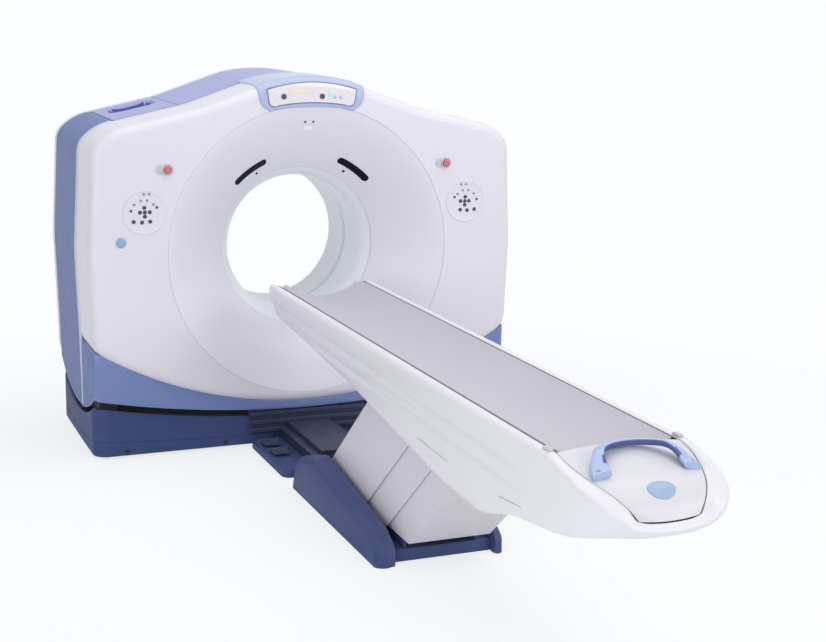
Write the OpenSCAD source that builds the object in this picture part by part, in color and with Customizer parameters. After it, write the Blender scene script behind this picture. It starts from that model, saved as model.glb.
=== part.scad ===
// Tilting ring scanner with a patient table, in millimetres
// Origin on the floor under the centre of the bore, +X right, table towards -Y

/* [Gantry] */
// Height of the bore axis and the tilt axis above the floor
iso_z = 1000; // [980:5:1040]
// Front face to rear face
gantry_depth = 1040; // [1000:5:1060]
// Front face ahead of the tilt axis
front_reach = 500; // [490:5:510]
// Half width of the covers
half_w = 1106; // [1100:1:1125]
// Height of the crest above the bore axis
crest_h = 866; // [858:1:880]
// Depth of the white front cover
front_depth = 330; // [280:5:360]
// Depth of the rear cover
rear_depth = 80; // [60:5:120]
// Wall of the moulded covers
wall = 12; // [8:1:14]
// Rounding of the front edge
edge_r = 46; // [30:1:60]
// Seam between two covers
seam = 0.3; // [0.2:0.1:0.6]
// Lowest point of the front cover's lower arc above the floor
front_arc_z = 228; // [222:1:240]
// Radius of the front cover's lower arc
front_arc_r = 2000; // [1960:10:2040]
// Lowest point of the lower trim above the floor
trim_arc_z = 190; // [186:1:196]
// Radius of the lower trim's underside
trim_arc_r = 5100; // [5000:10:5250]
// Set-back of the trim behind the front face
trim_back = 20; // [16:1:30]
// Width of a side cover seen from the front
side_w = 206; // [190:2:240]

/* [Bore] */
// Radius of the patient bore
bore_r = 350; // [345:1:355]
// Radius of the inner rim of the funnel
rim_r = 397; // [390:1:405]
// Depth of the funnel
funnel_depth = 211; // [200:1:220]
// Outer radius of the front funnel
funnel_r = 723; // [710:1:730]
// Outer radius of the rear funnel
rear_funnel_r = 600; // [560:5:640]
// Wall of the funnels and the bore lining
liner_wall = 8; // [5:1:10]
// Length of the see-through scan window
window_l = 40; // [30:2:60]
// Distance of the laser windows from the bore axis
laser_r = 475; // [465:1:485]
// Length of a laser window
laser_l = 185; // [150:5:195]

/* [Rotor] */
// Outer radius of the rotor drum
rotor_r = 760; // [740:1:770]
// Radius of the rotor's opening
rotor_bore_r = 440; // [430:1:450]
// Front of the rotor's rim
rotor_front = -150; // [-170:1:-130]
// Front face of the rotor plate
plate_y = 90; // [85:1:100]
// Thickness of the rotor plate
plate_t = 40; // [30:1:45]
// Outer radius of the rotor hub
hub_r = 500; // [490:1:510]
// Length of the rotor hub
hub_l = 84; // [80:1:88]
// Running gap between parts that turn
run_gap = 0.5; // [0.3:0.1:1]
// Outer radius of the main bearing
bearing_r = 600; // [590:1:610]
// Front face of the stator frame
frame_y = 220; // [218:1:226]
// Thickness of the stator frame
frame_t = 40; // [30:1:50]
// Air gap of the ring motor
motor_gap = 6; // [4:1:8]
// Wall of the ring motor's coil ring
motor_wall = 34; // [26:1:38]

/* [Tilt] */
// Largest tilt each way in degrees
tilt_max = 20; // [15:1:20]
// Trunnion pin radius
trunnion_r = 60; // [50:1:70]
// Inner face of a stand from the side of the covers
stand_in = 191; // [186:1:196]
// Thickness of a stand
stand_t = 90; // [80:1:95]
// Half width of a stand at its foot
stand_foot = 150; // [130:5:160]
// Half width of a stand at its head
stand_head = 110; // [100:5:120]
// Clearance round the swinging covers
swing_gap = 12; // [10:1:16]

/* [Base] */
// Set-back of the base's side behind the covers' side
base_in = 20; // [16:1:40]
// Half depth of the gantry base
base_half_d = 438; // [430:1:450]
// Height of the gantry base before the swing recess is cut
base_h = 285; // [270:1:295]
// Underside of the base above the floor
foot_h = 12; // [8:1:16]
// Corner radius of the base
base_corner = 70; // [50:5:90]
// Levelling foot radius
foot_r = 38; // [30:1:45]
// Anchor hole spacing across
anchor_x = 1760; // [1700:10:1800]
// Anchor hole spacing front to back
anchor_y = 640; // [600:10:660]
// Anchor hole radius
anchor_r = 9; // [8:0.5:11]

/* [Table] */
// Height of the cradle's edges
table_z = 868; // [862:1:874]
// Head end of the table body
head_y = -640; // [-660:5:-630]
// Length of the table body up to the foot cap
body_l = 2910; // [2850:10:2950]
// Length of the foot cap
cap_l = 345; // [335:1:355]
// Half width of the table body
body_half_w = 262; // [255:1:270]
// Half width of the cradle
cradle_half_w = 215; // [205:1:220]
// Depth of the cradle's trough
cradle_sag = 62; // [50:1:66]
// Thickness of the cradle shell
cradle_t = 12; // [10:1:14]
// Length of the cradle
cradle_l = 2860; // [2800:10:2890]
// Gap between the cradle and the body
cradle_gap = 8; // [5:1:10]
// Spacing of the cradle runners from the middle
runner_x = 120; // [100:5:140]
// Wall of the table body
body_wall = 10; // [8:1:12]

/* [Lift] */
// Height of the lower arm pivots
pivot_z = 130; // [125:1:140]
// Lower pivot of the front arms
front_pivot_y = -1700; // [-1720:5:-1690]
// Distance between the front and rear arms
pivot_pitch = 330; // [310:5:350]
// Run of an arm towards the foot end
arm_run = 560; // [540:5:570]
// Rise of an arm
arm_rise = 480; // [470:1:490]
// Pivot pin radius
pin_r = 20; // [16:1:22]
// Running clearance of the pivot pins
pin_gap = 0.05; // [0.02:0.01:0.1]
// Half width over the lift arms
arm_half_w = 145; // [138:1:147]
// Half width over the outermost side slats
slat_half_w = 196; // [192:1:198]
// Thickness of a slat
slat_t = 6; // [4:1:7]
// Half width of the table base
tbase_half_w = 222; // [215:1:230]
// Height of the table base plate
tbase_h = 54; // [48:1:60]

/* [Controls] */
// Middle of a control panel from the side of the covers
panel_in = 266; // [260:2:290]
// Control panel height above the floor
panel_z = 1212; // [1200:1:1220]
// Control panel radius
panel_r = 105; // [95:1:115]
// Middle of a stop button from the side of the covers
stop_in = 386; // [372:2:402]
// Stop button height above the floor
stop_z = 1420; // [1410:1:1440]
// Stop button radius
stop_r = 22; // [18:1:25]
// Stop button travel
stop_travel = 5; // [3:0.5:6]

/* [Hidden] */
$fn = 64;

front_y = -front_reach;
rear_y = gantry_depth - front_reach;
split_y = front_y + front_depth;
rear_split_y = rear_y - rear_depth;
top_half_w = half_w - side_w;
stand_x = half_w - stand_in;
base_half_w = half_w - base_in;
panel_x = half_w - panel_in;
stop_x = half_w - stop_in;
arc_steps = 6;
eps = 1;

// Corner of a polygon turned into an arc, for points [x, z, radius]
function unit(v) = v / norm(v);
function arc_at(a, b, c, r) =
    let (u = unit([a[0] - b[0], a[1] - b[1]]), v = unit([c[0] - b[0], c[1] - b[1]]))
    let (half = acos(max(-1, min(1, u * v))) / 2, back = r / tan(half))
    let (mid = unit(u + v), centre = [b[0], b[1]] + mid * (r / sin(half)))
    let (p = [b[0], b[1]] + u * back - centre, q = [b[0], b[1]] + v * back - centre)
    let (start = atan2(p[1], p[0]), turn = atan2(p[0] * q[1] - p[1] * q[0], p * q))
    [for (i = [0 : arc_steps]) let (a = start + turn * i / arc_steps) centre + r * [cos(a), sin(a)]];
function rounded(pts) =
    [for (i = [0 : len(pts) - 1])
        let (a = pts[(i + len(pts) - 1) % len(pts)], b = pts[i], c = pts[(i + 1) % len(pts)])
        each (b[2] > 0 ? arc_at(a, b, c, b[2]) : [[b[0], b[1]]])];
function mirrored(pts) = concat(pts, [for (i = [len(pts) - 1 : -1 : 1]) [-pts[i][0], pts[i][1], pts[i][2]]]);
function inset_loop(pts, d) =
    let (n = len(pts))
    [for (i = [0 : n - 1]) let (t = unit(pts[(i + 1) % n] - pts[(i + n - 1) % n])) pts[i] + d * [t[1], -t[0]]];
function reversed(v) = [for (i = [len(v) - 1 : -1 : 0]) v[i]];
function arc_height(x, low, r) = low + r - sqrt(r * r - x * x);

// Covers' outline, right half from the crest down
lower_in = 14;
lower_taper = 6;
lower_x = half_w - lower_in;
lower_z = arc_height(lower_x, front_arc_z, front_arc_r);
crest_z = iso_z + crest_h;
side_low_z = 180;
crest_share = 0.18;
slope_share = 0.504;
crest_drop = 32;
slope_drop = 158;
wing_in = 130;
wing_drop = 252;
corner_in = 28;
corner_drop = 330;
shoulder = [[0, crest_z, 0], [crest_share * half_w, crest_z - crest_drop, 260],
            [slope_share * half_w, crest_z - slope_drop, 500], [half_w - wing_in, crest_z - wing_drop, 240],
            [half_w - corner_in, crest_z - corner_drop, 110], [half_w, iso_z, 900]];
body_outline = rounded(mirrored(concat(shoulder, [[lower_x, lower_z, 0], [lower_x - lower_taper, side_low_z, 0]])));
arc_points = [for (i = [11 : -1 : 1]) let (x = lower_x * i / 12)
    [x, arc_height(x, front_arc_z, front_arc_r), 0]];
front_outline = rounded(concat(
    shoulder, [[lower_x, lower_z, 0]], arc_points, [[0, front_arc_z, 0]],
    [for (i = [len(arc_points) - 1 : -1 : 0]) [-arc_points[i][0], arc_points[i][1], 0]], [[-lower_x, lower_z, 0]],
    [for (i = [len(shoulder) - 1 : -1 : 1]) [-shoulder[i][0], shoulder[i][1], shoulder[i][2]]]));

// Closed solid through loops of [x, z] points, one loop for each y
module skin(loops, ys) {
    n = len(loops[0]);
    m = len(loops);
    rings = [for (k = [0 : m - 1]) each [for (p = loops[k]) [p[0], ys[k], p[1]]]];
    ends = [for (k = [0, m - 1]) let (s = [for (p = loops[k]) 1] * loops[k] / n) [s[0], ys[k], s[1]]];
    walls = [for (k = [0 : m - 2]) for (i = [0 : n - 1]) let (j = (i + 1) % n)
        each [[k * n + i, (k + 1) * n + j, k * n + j], [k * n + i, (k + 1) * n + i, (k + 1) * n + j]]];
    caps = [for (i = [0 : n - 1]) let (j = (i + 1) % n)
        each [[m * n, i, j], [m * n + 1, (m - 1) * n + j, (m - 1) * n + i]]];
    polyhedron(concat(rings, ends), concat(walls, caps), convexity = 6);
}

// Helpers for shapes that run along one axis
module along_y(y0, y1) { translate([0, y1, 0]) rotate([90, 0, 0]) linear_extrude(y1 - y0) children(); }
module along_x(x0, x1) { translate([x0, 0, 0]) rotate([90, 0, 90]) linear_extrude(x1 - x0) children(); }
module cyl_x(r, x0, x1) { translate([x0, 0, 0]) rotate([0, 90, 0]) cylinder(r = r, h = x1 - x0); }
module cyl_y(r, y0, y1) { translate([0, y1, 0]) rotate([90, 0, 0]) cylinder(r = r, h = y1 - y0, $fn = 128); }
module box(x0, x1, y0, y1, z0, z1) { translate([x0, y0, z0]) cube([x1 - x0, y1 - y0, z1 - z0]); }
module both_sides() {
    children();
    mirror([1, 0, 0]) children();
}
module ring_y(r_out, r_in, y0, y1) {
    translate([0, 0, iso_z]) difference() {
        cyl_y(r_out, y0, y1);
        cyl_y(r_in, y0 - eps, y1 + eps);
    }
}
// Turned about the bore axis from [radius, y] points, from one angle to another
module turned(points, from = 0, to = 360) {
    translate([0, 0, iso_z]) rotate([-90, 0, 0]) rotate([0, 0, -to])
        rotate_extrude(angle = to - from, $fn = 128) polygon(points);
}

// Underside of the tilting covers and the radius that it sweeps
function trim_z(x) = arc_height(x, trim_arc_z, trim_arc_r);
function sweep_r(x) = norm([front_y + trim_back, iso_z - trim_z(x)]) + swing_gap;
sweep_half_w = base_half_w + 40;
module swing_space() {
    profile = concat([[0, -sweep_half_w]], [for (i = [-8 : 8]) let (x = i * sweep_half_w / 8) [sweep_r(x), x]],
                     [[0, sweep_half_w]]);
    translate([0, 0, iso_z]) rotate([0, 90, 0]) rotate_extrude($fn = 128) polygon(profile);
}
module trim_circle(lift) { translate([0, trim_arc_z + lift + trim_arc_r]) circle(r = trim_arc_r, $fn = 256); }
module front_circle(grow) { translate([0, front_arc_z + front_arc_r]) circle(r = front_arc_r + grow, $fn = 256); }

// Gantry base with the recess that the covers swing in
anchor_seat = 70;
anchor_head_r = 18;
pocket_gap = 6;
module anchor_places() {
    for (sx = [-1, 1], sy = [-1, 1]) translate([sx * anchor_x / 2, sy * anchor_y / 2, 0]) children();
}
module plan_plate(half_x, y0, y1, r) {
    polygon(rounded([[half_x, y1, r], [half_x, y0, r], [-half_x, y0, r], [-half_x, y1, r]]));
}
module gantry_base() {
    color([0.24, 0.3, 0.5]) difference() {
        translate([0, 0, foot_h]) linear_extrude(base_h - foot_h)
            plan_plate(base_half_w, -base_half_d, base_half_d, base_corner);
        swing_space();
        anchor_places() translate([0, 0, foot_h - eps]) cylinder(r = anchor_r, h = base_h);
        anchor_places() translate([0, 0, anchor_seat]) cylinder(r = anchor_head_r + pocket_gap, h = base_h);
    }
}
foot_inset = 110;
module levelling_feet() {
    color([0.2, 0.2, 0.22]) for (sx = [-1, 1], sy = [-1, 1])
        translate([sx * (base_half_w - foot_inset), sy * (base_half_d - foot_inset), 0])
            cylinder(r = foot_r, h = foot_h);
}
// Stands that carry the trunnions inside the hollow side covers
module tilt_stand() {
    color([0.5, 0.52, 0.55]) intersection() {
        difference() {
            along_x(stand_x, stand_x + stand_t) union() {
                polygon([[-stand_foot, 0], [stand_foot, 0], [stand_head, iso_z], [-stand_head, iso_z]]);
                translate([0, iso_z]) circle(r = stand_head);
            }
            translate([0, 0, iso_z]) cyl_x(trunnion_r + pin_gap, stand_x - eps, stand_x + stand_t + eps);
        }
        swing_space();
    }
}
module tilt_stand_left() { mirror([1, 0, 0]) tilt_stand(); }
module tilt_stand_right() { tilt_stand(); }

gearbox_l = 46;
gearbox_half = 70;
gearbox_drop = 240;
trunnion_out = 20;
module tilt_gearbox() {
    x0 = stand_x + stand_t;
    color([0.35, 0.37, 0.4]) translate([0, 0, iso_z]) difference() {
        union() {
            cyl_x(stand_head - 10, x0, x0 + gearbox_l);
            box(x0, x0 + gearbox_l, -gearbox_half, gearbox_half, -gearbox_drop, 0);
        }
        cyl_x(trunnion_r + pin_gap, x0 - eps, x0 + trunnion_out + eps);
    }
}

// Frame that tilts, with its arms and trunnion pins
frame_r = rotor_r + motor_gap + motor_wall + 5;
frame_lap = 80;
arm_h = 120;
arm_t = 50;
arm_gap = 8;
module stator_frame() {
    arm_x = stand_x - arm_gap;
    color([0.55, 0.57, 0.6]) {
        ring_y(frame_r, bearing_r - frame_lap, frame_y, frame_y + frame_t);
        both_sides() {
            intersection() {
                box(frame_r - arm_h, half_w, frame_y, frame_y + frame_t, iso_z - arm_h, iso_z + arm_h);
                along_y(frame_y, frame_y + frame_t) polygon(inset_loop(body_outline, wall));
            }
            box(arm_x - arm_t, arm_x, -arm_h, frame_y, iso_z - arm_h, iso_z + arm_h);
            translate([0, 0, iso_z]) cyl_x(trunnion_r, arm_x, stand_x + stand_t + trunnion_out);
        }
    }
}
hub_y = plate_y + plate_t;
bearing_gap = 4;
module main_bearing() { color([0.7, 0.71, 0.73]) ring_y(bearing_r, hub_r + run_gap, hub_y + bearing_gap, frame_y); }
coil_lead = 20;
module drive_coils() {
    inner = rotor_r + motor_gap;
    color([0.55, 0.35, 0.2]) ring_y(inner + motor_wall, inner, plate_y - coil_lead, frame_y);
}

// White front cover with a rounded edge
edge_steps = [0, 22.5, 45, 67.5, 90];
module front_block(d, y_end) {
    r = edge_r - d;
    skin(concat([for (a = edge_steps) inset_loop(front_outline, d + r * (1 - sin(a)))],
                [inset_loop(front_outline, d)]),
         concat([for (a = edge_steps) front_y + d + r * (1 - cos(a))], [y_end]));
}
// Slot in the cover's floor that the stands pass through as it tilts
slot_low = 400;
slot_high = 560;
slot_front = -stand_foot * cos(tilt_max) - (iso_z - slot_low) * sin(tilt_max);
module stand_slot() {
    box(stand_x - swing_gap, stand_x + stand_t + swing_gap, slot_front, split_y + eps, slot_low, slot_high);
}
module front_cover() {
    color([0.88, 0.88, 0.91]) difference() {
        front_block(0, split_y);
        front_block(wall, split_y + eps);
        translate([0, 0, iso_z]) cyl_y(funnel_r + seam, front_y - eps, split_y);
        both_sides() stand_slot();
    }
}

// Dished funnel, as the depth behind its outer edge at a radius
funnel_steps = 8;
dish = 1.35;
function funnel_y(r, outer) = funnel_depth * pow(1 - (r - rim_r) / (outer - rim_r), dish);
function dish_line(outer, r0, r1) = [for (i = [0 : funnel_steps]) let (r = r0 + (r1 - r0) * i / funnel_steps)
    [r, funnel_y(r, outer)]];
function dish_wall(outer) = concat(dish_line(outer, rim_r, outer),
    [for (i = [funnel_steps : -1 : 0]) dish_line(outer, rim_r, outer)[i] + [0, liner_wall]]);
module funnel_ring() {
    color([0.8, 0.8, 0.85]) turned([for (p = dish_wall(funnel_r)) [p[0], front_y + p[1]]]);
}
module rear_funnel() {
    color([0.8, 0.8, 0.85]) turned([for (p = dish_wall(rear_funnel_r)) [p[0], rear_y - p[1]]]);
}
throat_l = 87;
function liner(y_rim, y_throat, y_end) = [[rim_r, y_rim], [bore_r, y_throat], [bore_r, y_end],
    [bore_r + liner_wall, y_end], [bore_r + liner_wall, y_throat], [rim_r + liner_wall, y_rim]];
module bore_liner_front() {
    rim_y = front_y + funnel_depth + liner_wall;
    color([0.93, 0.93, 0.95]) turned(liner(rim_y, rim_y + throat_l, -window_l / 2));
}
module bore_liner_rear() {
    rim_y = rear_y - funnel_depth - liner_wall;
    color([0.93, 0.93, 0.95]) turned(liner(rim_y, rim_y - throat_l, window_l / 2));
}
module scan_window() { color([0.75, 0.85, 0.9]) ring_y(bore_r + liner_wall, bore_r, -window_l / 2, window_l / 2); }

// Laser windows, as strips on the dish
laser_half = 16;
laser_t = 2;
laser_turn = 35;
module laser_strip(angle) {
    half_turn = asin(laser_l / 2 / laser_r);
    line = dish_line(funnel_r, laser_r - laser_half, laser_r + laser_half);
    turned(concat([for (p = line) [p[0], front_y + p[1]]],
                  [for (i = [funnel_steps : -1 : 0]) [line[i][0], front_y + line[i][1] - laser_t]]),
           angle - half_turn, angle + half_turn);
}
module laser_windows() {
    color([0.05, 0.05, 0.06]) {
        laser_strip(90 - laser_turn);
        laser_strip(90 + laser_turn);
    }
}

// Blue trim between the front cover and the base
module trim_shape() {
    difference() {
        intersection() {
            polygon(body_outline);
            trim_circle(0);
        }
        front_circle(seam);
    }
}
// Reach of the side walls' lower edge from the tilt axis
side_sweep = 815;
module side_reach() { translate([0, 0, iso_z]) cyl_x(side_sweep, -half_w - eps, half_w + eps); }
module lower_trim() {
    y0 = front_y + trim_back;
    color([0.43, 0.53, 0.74]) {
        along_y(y0, y0 + wall) trim_shape();
        intersection() {
            along_y(y0, split_y) difference() {
                polygon(body_outline);
                polygon(inset_loop(body_outline, wall));
                front_circle(seam);
            }
            side_reach();
            box(-half_w - eps, half_w + eps, y0, split_y, side_low_z + wall, iso_z);
        }
    }
}

// Blue covers behind the front cover
module cover_wall(y0, y1) {
    along_y(y0, y1) difference() {
        polygon(body_outline);
        polygon(inset_loop(body_outline, wall));
    }
}
module blue_wall() { cover_wall(split_y + seam, rear_split_y - seam); }
module side_cover() {
    color([0.35, 0.45, 0.68]) intersection() {
        blue_wall();
        box(top_half_w + seam, half_w + eps, split_y, rear_split_y, side_low_z + wall, crest_z);
        side_reach();
    }
}
module side_cover_left() { mirror([1, 0, 0]) side_cover(); }
module side_cover_right() { side_cover(); }

// Top cover with two grip recesses on its slopes
grip_w = 230;
grip_l = 100;
grip_deep = 6;
grip_slope = 12.6;
grip_in = 366;
grip_x = half_w - grip_in;
grip_y = 240;
grip_drop = 198;
grip_z = crest_z - grip_drop;
module top_cover() {
    color([0.62, 0.66, 0.84]) difference() {
        intersection() {
            blue_wall();
            box(-top_half_w, top_half_w, split_y, rear_split_y, iso_z, crest_z + eps);
        }
        both_sides() translate([grip_x, grip_y, grip_z]) rotate([0, grip_slope, 0])
            translate([-grip_w / 2, -grip_l / 2, -grip_deep]) cube([grip_w, grip_l, 40]);
    }
}

// Rear cover with its funnel opening
rear_lift = 44;
module rear_shape(d) {
    intersection() {
        polygon(inset_loop(body_outline, d));
        trim_circle(rear_lift);
    }
}
module rear_cover() {
    color([0.85, 0.86, 0.9]) difference() {
        along_y(rear_split_y, rear_y) rear_shape(0);
        along_y(rear_split_y - eps, rear_y - wall) polygon(inset_loop(body_outline, wall));
        translate([0, 0, iso_z]) cyl_y(rear_funnel_r + seam, rear_split_y - eps, rear_y + eps);
    }
}

// Display at the top of the front cover
bezel_t = 8;
bezel_low = 700;
bezel_high = 808;
bezel_half_low = 215;
bezel_half_high = 268;
bezel_arch = 18;
function arch(half, z, rise, way) = [for (i = [-6 : 6]) let (x = way * half * i / 6)
    [x, iso_z + z + rise * (1 - pow(x / half, 2))]];
module display_bezel() {
    color([0.6, 0.7, 0.88]) along_y(front_y - bezel_t, front_y)
        polygon(concat(arch(bezel_half_high, bezel_high - bezel_arch, bezel_arch, 1),
                       arch(bezel_half_low, bezel_low, bezel_arch, -1)));
}
screen_t = 3;
screen_in = 18;
module display_panel() {
    color([0.93, 0.93, 0.95]) along_y(front_y - bezel_t - screen_t, front_y - bezel_t)
        polygon(concat(arch(bezel_half_high - 2 * screen_in, bezel_high - bezel_arch - screen_in, bezel_arch, 1),
                       arch(bezel_half_low - screen_in / 2, bezel_low + screen_in, bezel_arch, -1)));
}

// Membrane control panels with raised key domes
panel_t = 4;
key_t = 2;
key_r = 9;
key_ring = 62;
key_pitch = 27;
module control_panel(side) {
    color([0.86, 0.86, 0.9]) translate([side * panel_x, 0, panel_z]) {
        cyl_y(panel_r, front_y - panel_t, front_y);
        for (p = [[0, 0], [1, 0], [-1, 0], [0, 1], [0, -1]])
            translate([p[0] * key_pitch, 0, p[1] * key_pitch])
                cyl_y(key_r, front_y - panel_t - key_t, front_y - panel_t);
        for (a = [0 : 30 : 330])
            translate([key_ring * cos(a), 0, key_ring * sin(a)])
                cyl_y(key_r - 2, front_y - panel_t - key_t, front_y - panel_t);
    }
}
module control_panel_left() { control_panel(-1); }
module control_panel_right() { control_panel(1); }

// Emergency stop buttons in their collars
collar_t = 10;
collar_w = 12;
slide_gap = 0.3;
stop_head = 12;
stop_rest = stop_travel + 1;
module stop_collars() {
    color([0.75, 0.75, 0.78]) both_sides() translate([stop_x, 0, stop_z]) difference() {
        cyl_y(stop_r + collar_w, front_y - collar_t, front_y);
        cyl_y(stop_r + slide_gap, front_y - collar_t - eps, front_y + eps);
    }
}
module stop_button(side) {
    color([0.8, 0.2, 0.2]) translate([side * stop_x, 0, stop_z])
        cyl_y(stop_r, front_y - collar_t - stop_head, front_y - stop_rest);
}
module stop_button_left() { stop_button(-1); }
module stop_button_right() { stop_button(1); }

// Rotor with the parts that turn round the patient
rim_wall = 12;
hub_wall = 30;
module rotor_drum() {
    color([0.6, 0.62, 0.65]) union() {
        ring_y(rotor_r, rotor_bore_r, plate_y, hub_y);
        ring_y(rotor_r, rotor_r - rim_wall, rotor_front, plate_y);
        ring_y(hub_r, hub_r - hub_wall, hub_y, hub_y + hub_l);
    }
}
slip_in = 12;
slip_w = 88;
slip_t = 38;
module slip_ring() {
    color([0.75, 0.6, 0.3]) ring_y(bearing_r + slip_in + slip_w, bearing_r + slip_in, hub_y, hub_y + slip_t);
}
brush_half = 60;
module brush_block() {
    color([0.3, 0.3, 0.32]) box(-brush_half, brush_half, hub_y + slip_t + run_gap, frame_y,
                                iso_z + bearing_r + slip_in, iso_z + bearing_r + slip_in + slip_w);
}
tube_low = 530;
tube_h = 170;
tube_half_w = 130;
tube_set = 10;
module xray_tube() {
    color([0.45, 0.47, 0.5]) box(-tube_half_w, tube_half_w, rotor_front + tube_set, plate_y, iso_z + tube_low,
                                 iso_z + tube_low + tube_h);
}
collimator_h = 75;
collimator_half_w = 100;
collimator_half_l = 60;
module beam_collimator() {
    color([0.3, 0.32, 0.35]) box(-collimator_half_w, collimator_half_w, -collimator_half_l, collimator_half_l,
                                 iso_z + tube_low - collimator_h, iso_z + tube_low);
}
detector_r = 560;
detector_t = 80;
fan_half = 27;
detector_front = -40;
module detector_arc() {
    color([0.4, 0.42, 0.45]) turned([[detector_r, detector_front], [detector_r + detector_t, detector_front],
                                     [detector_r + detector_t, plate_y], [detector_r, plate_y]],
                                    270 - fan_half, 270 + fan_half);
}
unit_in = 480;
unit_w = 210;
unit_h = 120;
unit_front = -120;
module side_unit() { box(unit_in, unit_in + unit_w, unit_front, plate_y, iso_z - unit_h, iso_z + unit_h); }
module high_voltage_unit() { color([0.4, 0.4, 0.43]) mirror([1, 0, 0]) side_unit(); }
module power_unit() { color([0.45, 0.45, 0.4]) side_unit(); }
weight_in = 420;
weight_w = 125;
weight_front = -146;
weight_drop = 500;
weight_h = 140;
module balance_weights() {
    color([0.3, 0.3, 0.32]) both_sides() box(weight_in, weight_in + weight_w, weight_front, plate_y,
                                             iso_z - weight_drop, iso_z - weight_drop + weight_h);
}

// Table base with lug rails for the pivots and a fairing on each side
table_front = -1000;
table_back = -2185;
rear_pivot_y = front_pivot_y - pivot_pitch;
lean = arm_run / arm_rise;
slat_edges = [-1298, -1797, -2050, -2271];
slat_pins = [for (i = [0 : 2]) (slat_edges[i] + slat_edges[i + 1]) / 2];
rod_r = 10;
lug_in = arm_half_w + 5;
lug_t = 15;
lug_top = pivot_z + 35;
fairing_w = 80;
lug_set = 8;
lug_lead = 150;
fairing_over = 50;
fairing_heel = [77, 134];
fairing_in = 100;
fairing_brow = [160, 165];
fairing_peak_in = 420;
fairing_peak = 234;
fairing_toe = 60;
module lug_bores(ys, z, r) {
    for (y = ys) translate([0, y, z]) cyl_x(r + pin_gap, -lug_in - lug_t - eps, lug_in + lug_t + eps);
}
module table_base() {
    color([0.24, 0.3, 0.5]) {
        box(-tbase_half_w, tbase_half_w, table_back, table_front, 0, tbase_h);
        difference() {
            both_sides()
                box(lug_in, lug_in + lug_t, table_back + lug_set, slat_edges[0] - lug_lead, tbase_h, lug_top);
            lug_bores([front_pivot_y, rear_pivot_y], pivot_z, pin_r);
            lug_bores(slat_pins, pivot_z, rod_r);
        }
        both_sides() along_x(tbase_half_w, tbase_half_w + fairing_w)
            polygon(rounded([[table_front - fairing_in, 0, 0], [table_back - fairing_over, 0, 20],
                             [table_back - fairing_over, fairing_heel[0], 30],
                             [table_back + fairing_over, fairing_heel[1], 60],
                             [table_front - fairing_peak_in, fairing_peak, 90],
                             [table_front - fairing_brow[0], fairing_brow[1], 60],
                             [table_front - fairing_in, fairing_toe, 20]]));
    }
}

// Bridge between the gantry base and the table base
dock_half_w = 300;
dock_h = 45;
dock_corner = 40;
beam_half_w = 150;
beam_h = 50;
beam_step = 40;
duct_h = 25;
dock_gap = 0.3;
dock_end_gap = 0.5;
dock_start = -base_half_d - dock_gap;
pedal_pin_r = 5;
pedal_post_h = 24;
pedal_l = 80;
pedal_t = 8;
pedal_ys = [-560, -720];
pedal_x0 = 190;
pedal_x1 = 290;
post_t = 10;
post_half = 8;
pin_rise = 15;
pedal_side_gap = 1;
pedal_z = dock_h + pin_rise;
module dock_plate() {
    color([0.22, 0.27, 0.45]) {
        linear_extrude(dock_h) plan_plate(dock_half_w, table_front + dock_end_gap, dock_start, dock_corner);
        difference() {
            for (y = pedal_ys, x = [-pedal_x1, -pedal_x0 - post_t])
                box(x, x + post_t, y - post_half, y + post_half, dock_h, dock_h + pedal_post_h);
            for (y = pedal_ys) translate([0, y, pedal_z])
                cyl_x(pedal_pin_r + pin_gap, -pedal_x1 - eps, -pedal_x0 + eps);
        }
    }
}
module dock_beam() {
    color([0.16, 0.17, 0.22]) {
        box(-beam_half_w, beam_half_w, table_front + dock_end_gap, dock_start, dock_h, dock_h + beam_h);
        box(-beam_half_w + beam_step, beam_half_w - beam_step, table_front + dock_end_gap, dock_start,
            dock_h + beam_h, dock_h + beam_h + duct_h);
    }
}
module pedal(y) {
    color([0.12, 0.12, 0.15]) translate([0, y, pedal_z]) {
        cyl_x(pedal_pin_r, -pedal_x1, -pedal_x0);
        box(-pedal_x1 + post_t + pedal_side_gap, -pedal_x0 - post_t - pedal_side_gap, -pedal_l, 0,
            -pedal_t / 2, pedal_t / 2);
    }
}
module pedal_up() { pedal(pedal_ys[0]); }
module pedal_down() { pedal(pedal_ys[1]); }
motor_half_w = 100;
motor_lead = 60;
motor_l = 220;
motor_h = 60;
module lift_motor() {
    color([0.3, 0.32, 0.35]) box(-motor_half_w, motor_half_w, front_pivot_y + motor_lead,
                                 front_pivot_y + motor_lead + motor_l, tbase_h, tbase_h + motor_h);
}

// Parallel lift arms, each pair with its lower and upper pin
arm_w = 35;
arm_plate = 25;
module lift_arms(y) {
    top = [y - arm_run, pivot_z + arm_rise];
    side = arm_w * unit([arm_rise, arm_run]);
    color([0.5, 0.52, 0.56]) {
        both_sides() along_x(arm_half_w - arm_plate, arm_half_w) union() {
            polygon([[y, pivot_z] + side, [y, pivot_z] - side, top - side, top + side]);
            translate([y, pivot_z]) circle(r = arm_w);
            translate(top) circle(r = arm_w);
        }
        translate([0, y, pivot_z]) cyl_x(pin_r, -lug_in - lug_t, lug_in + lug_t);
        translate([0, top[0], top[1]]) cyl_x(pin_r, -lug_in - lug_t, lug_in + lug_t);
    }
}
module lift_arms_front() { lift_arms(front_pivot_y); }
module lift_arms_rear() { lift_arms(rear_pivot_y); }

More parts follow.
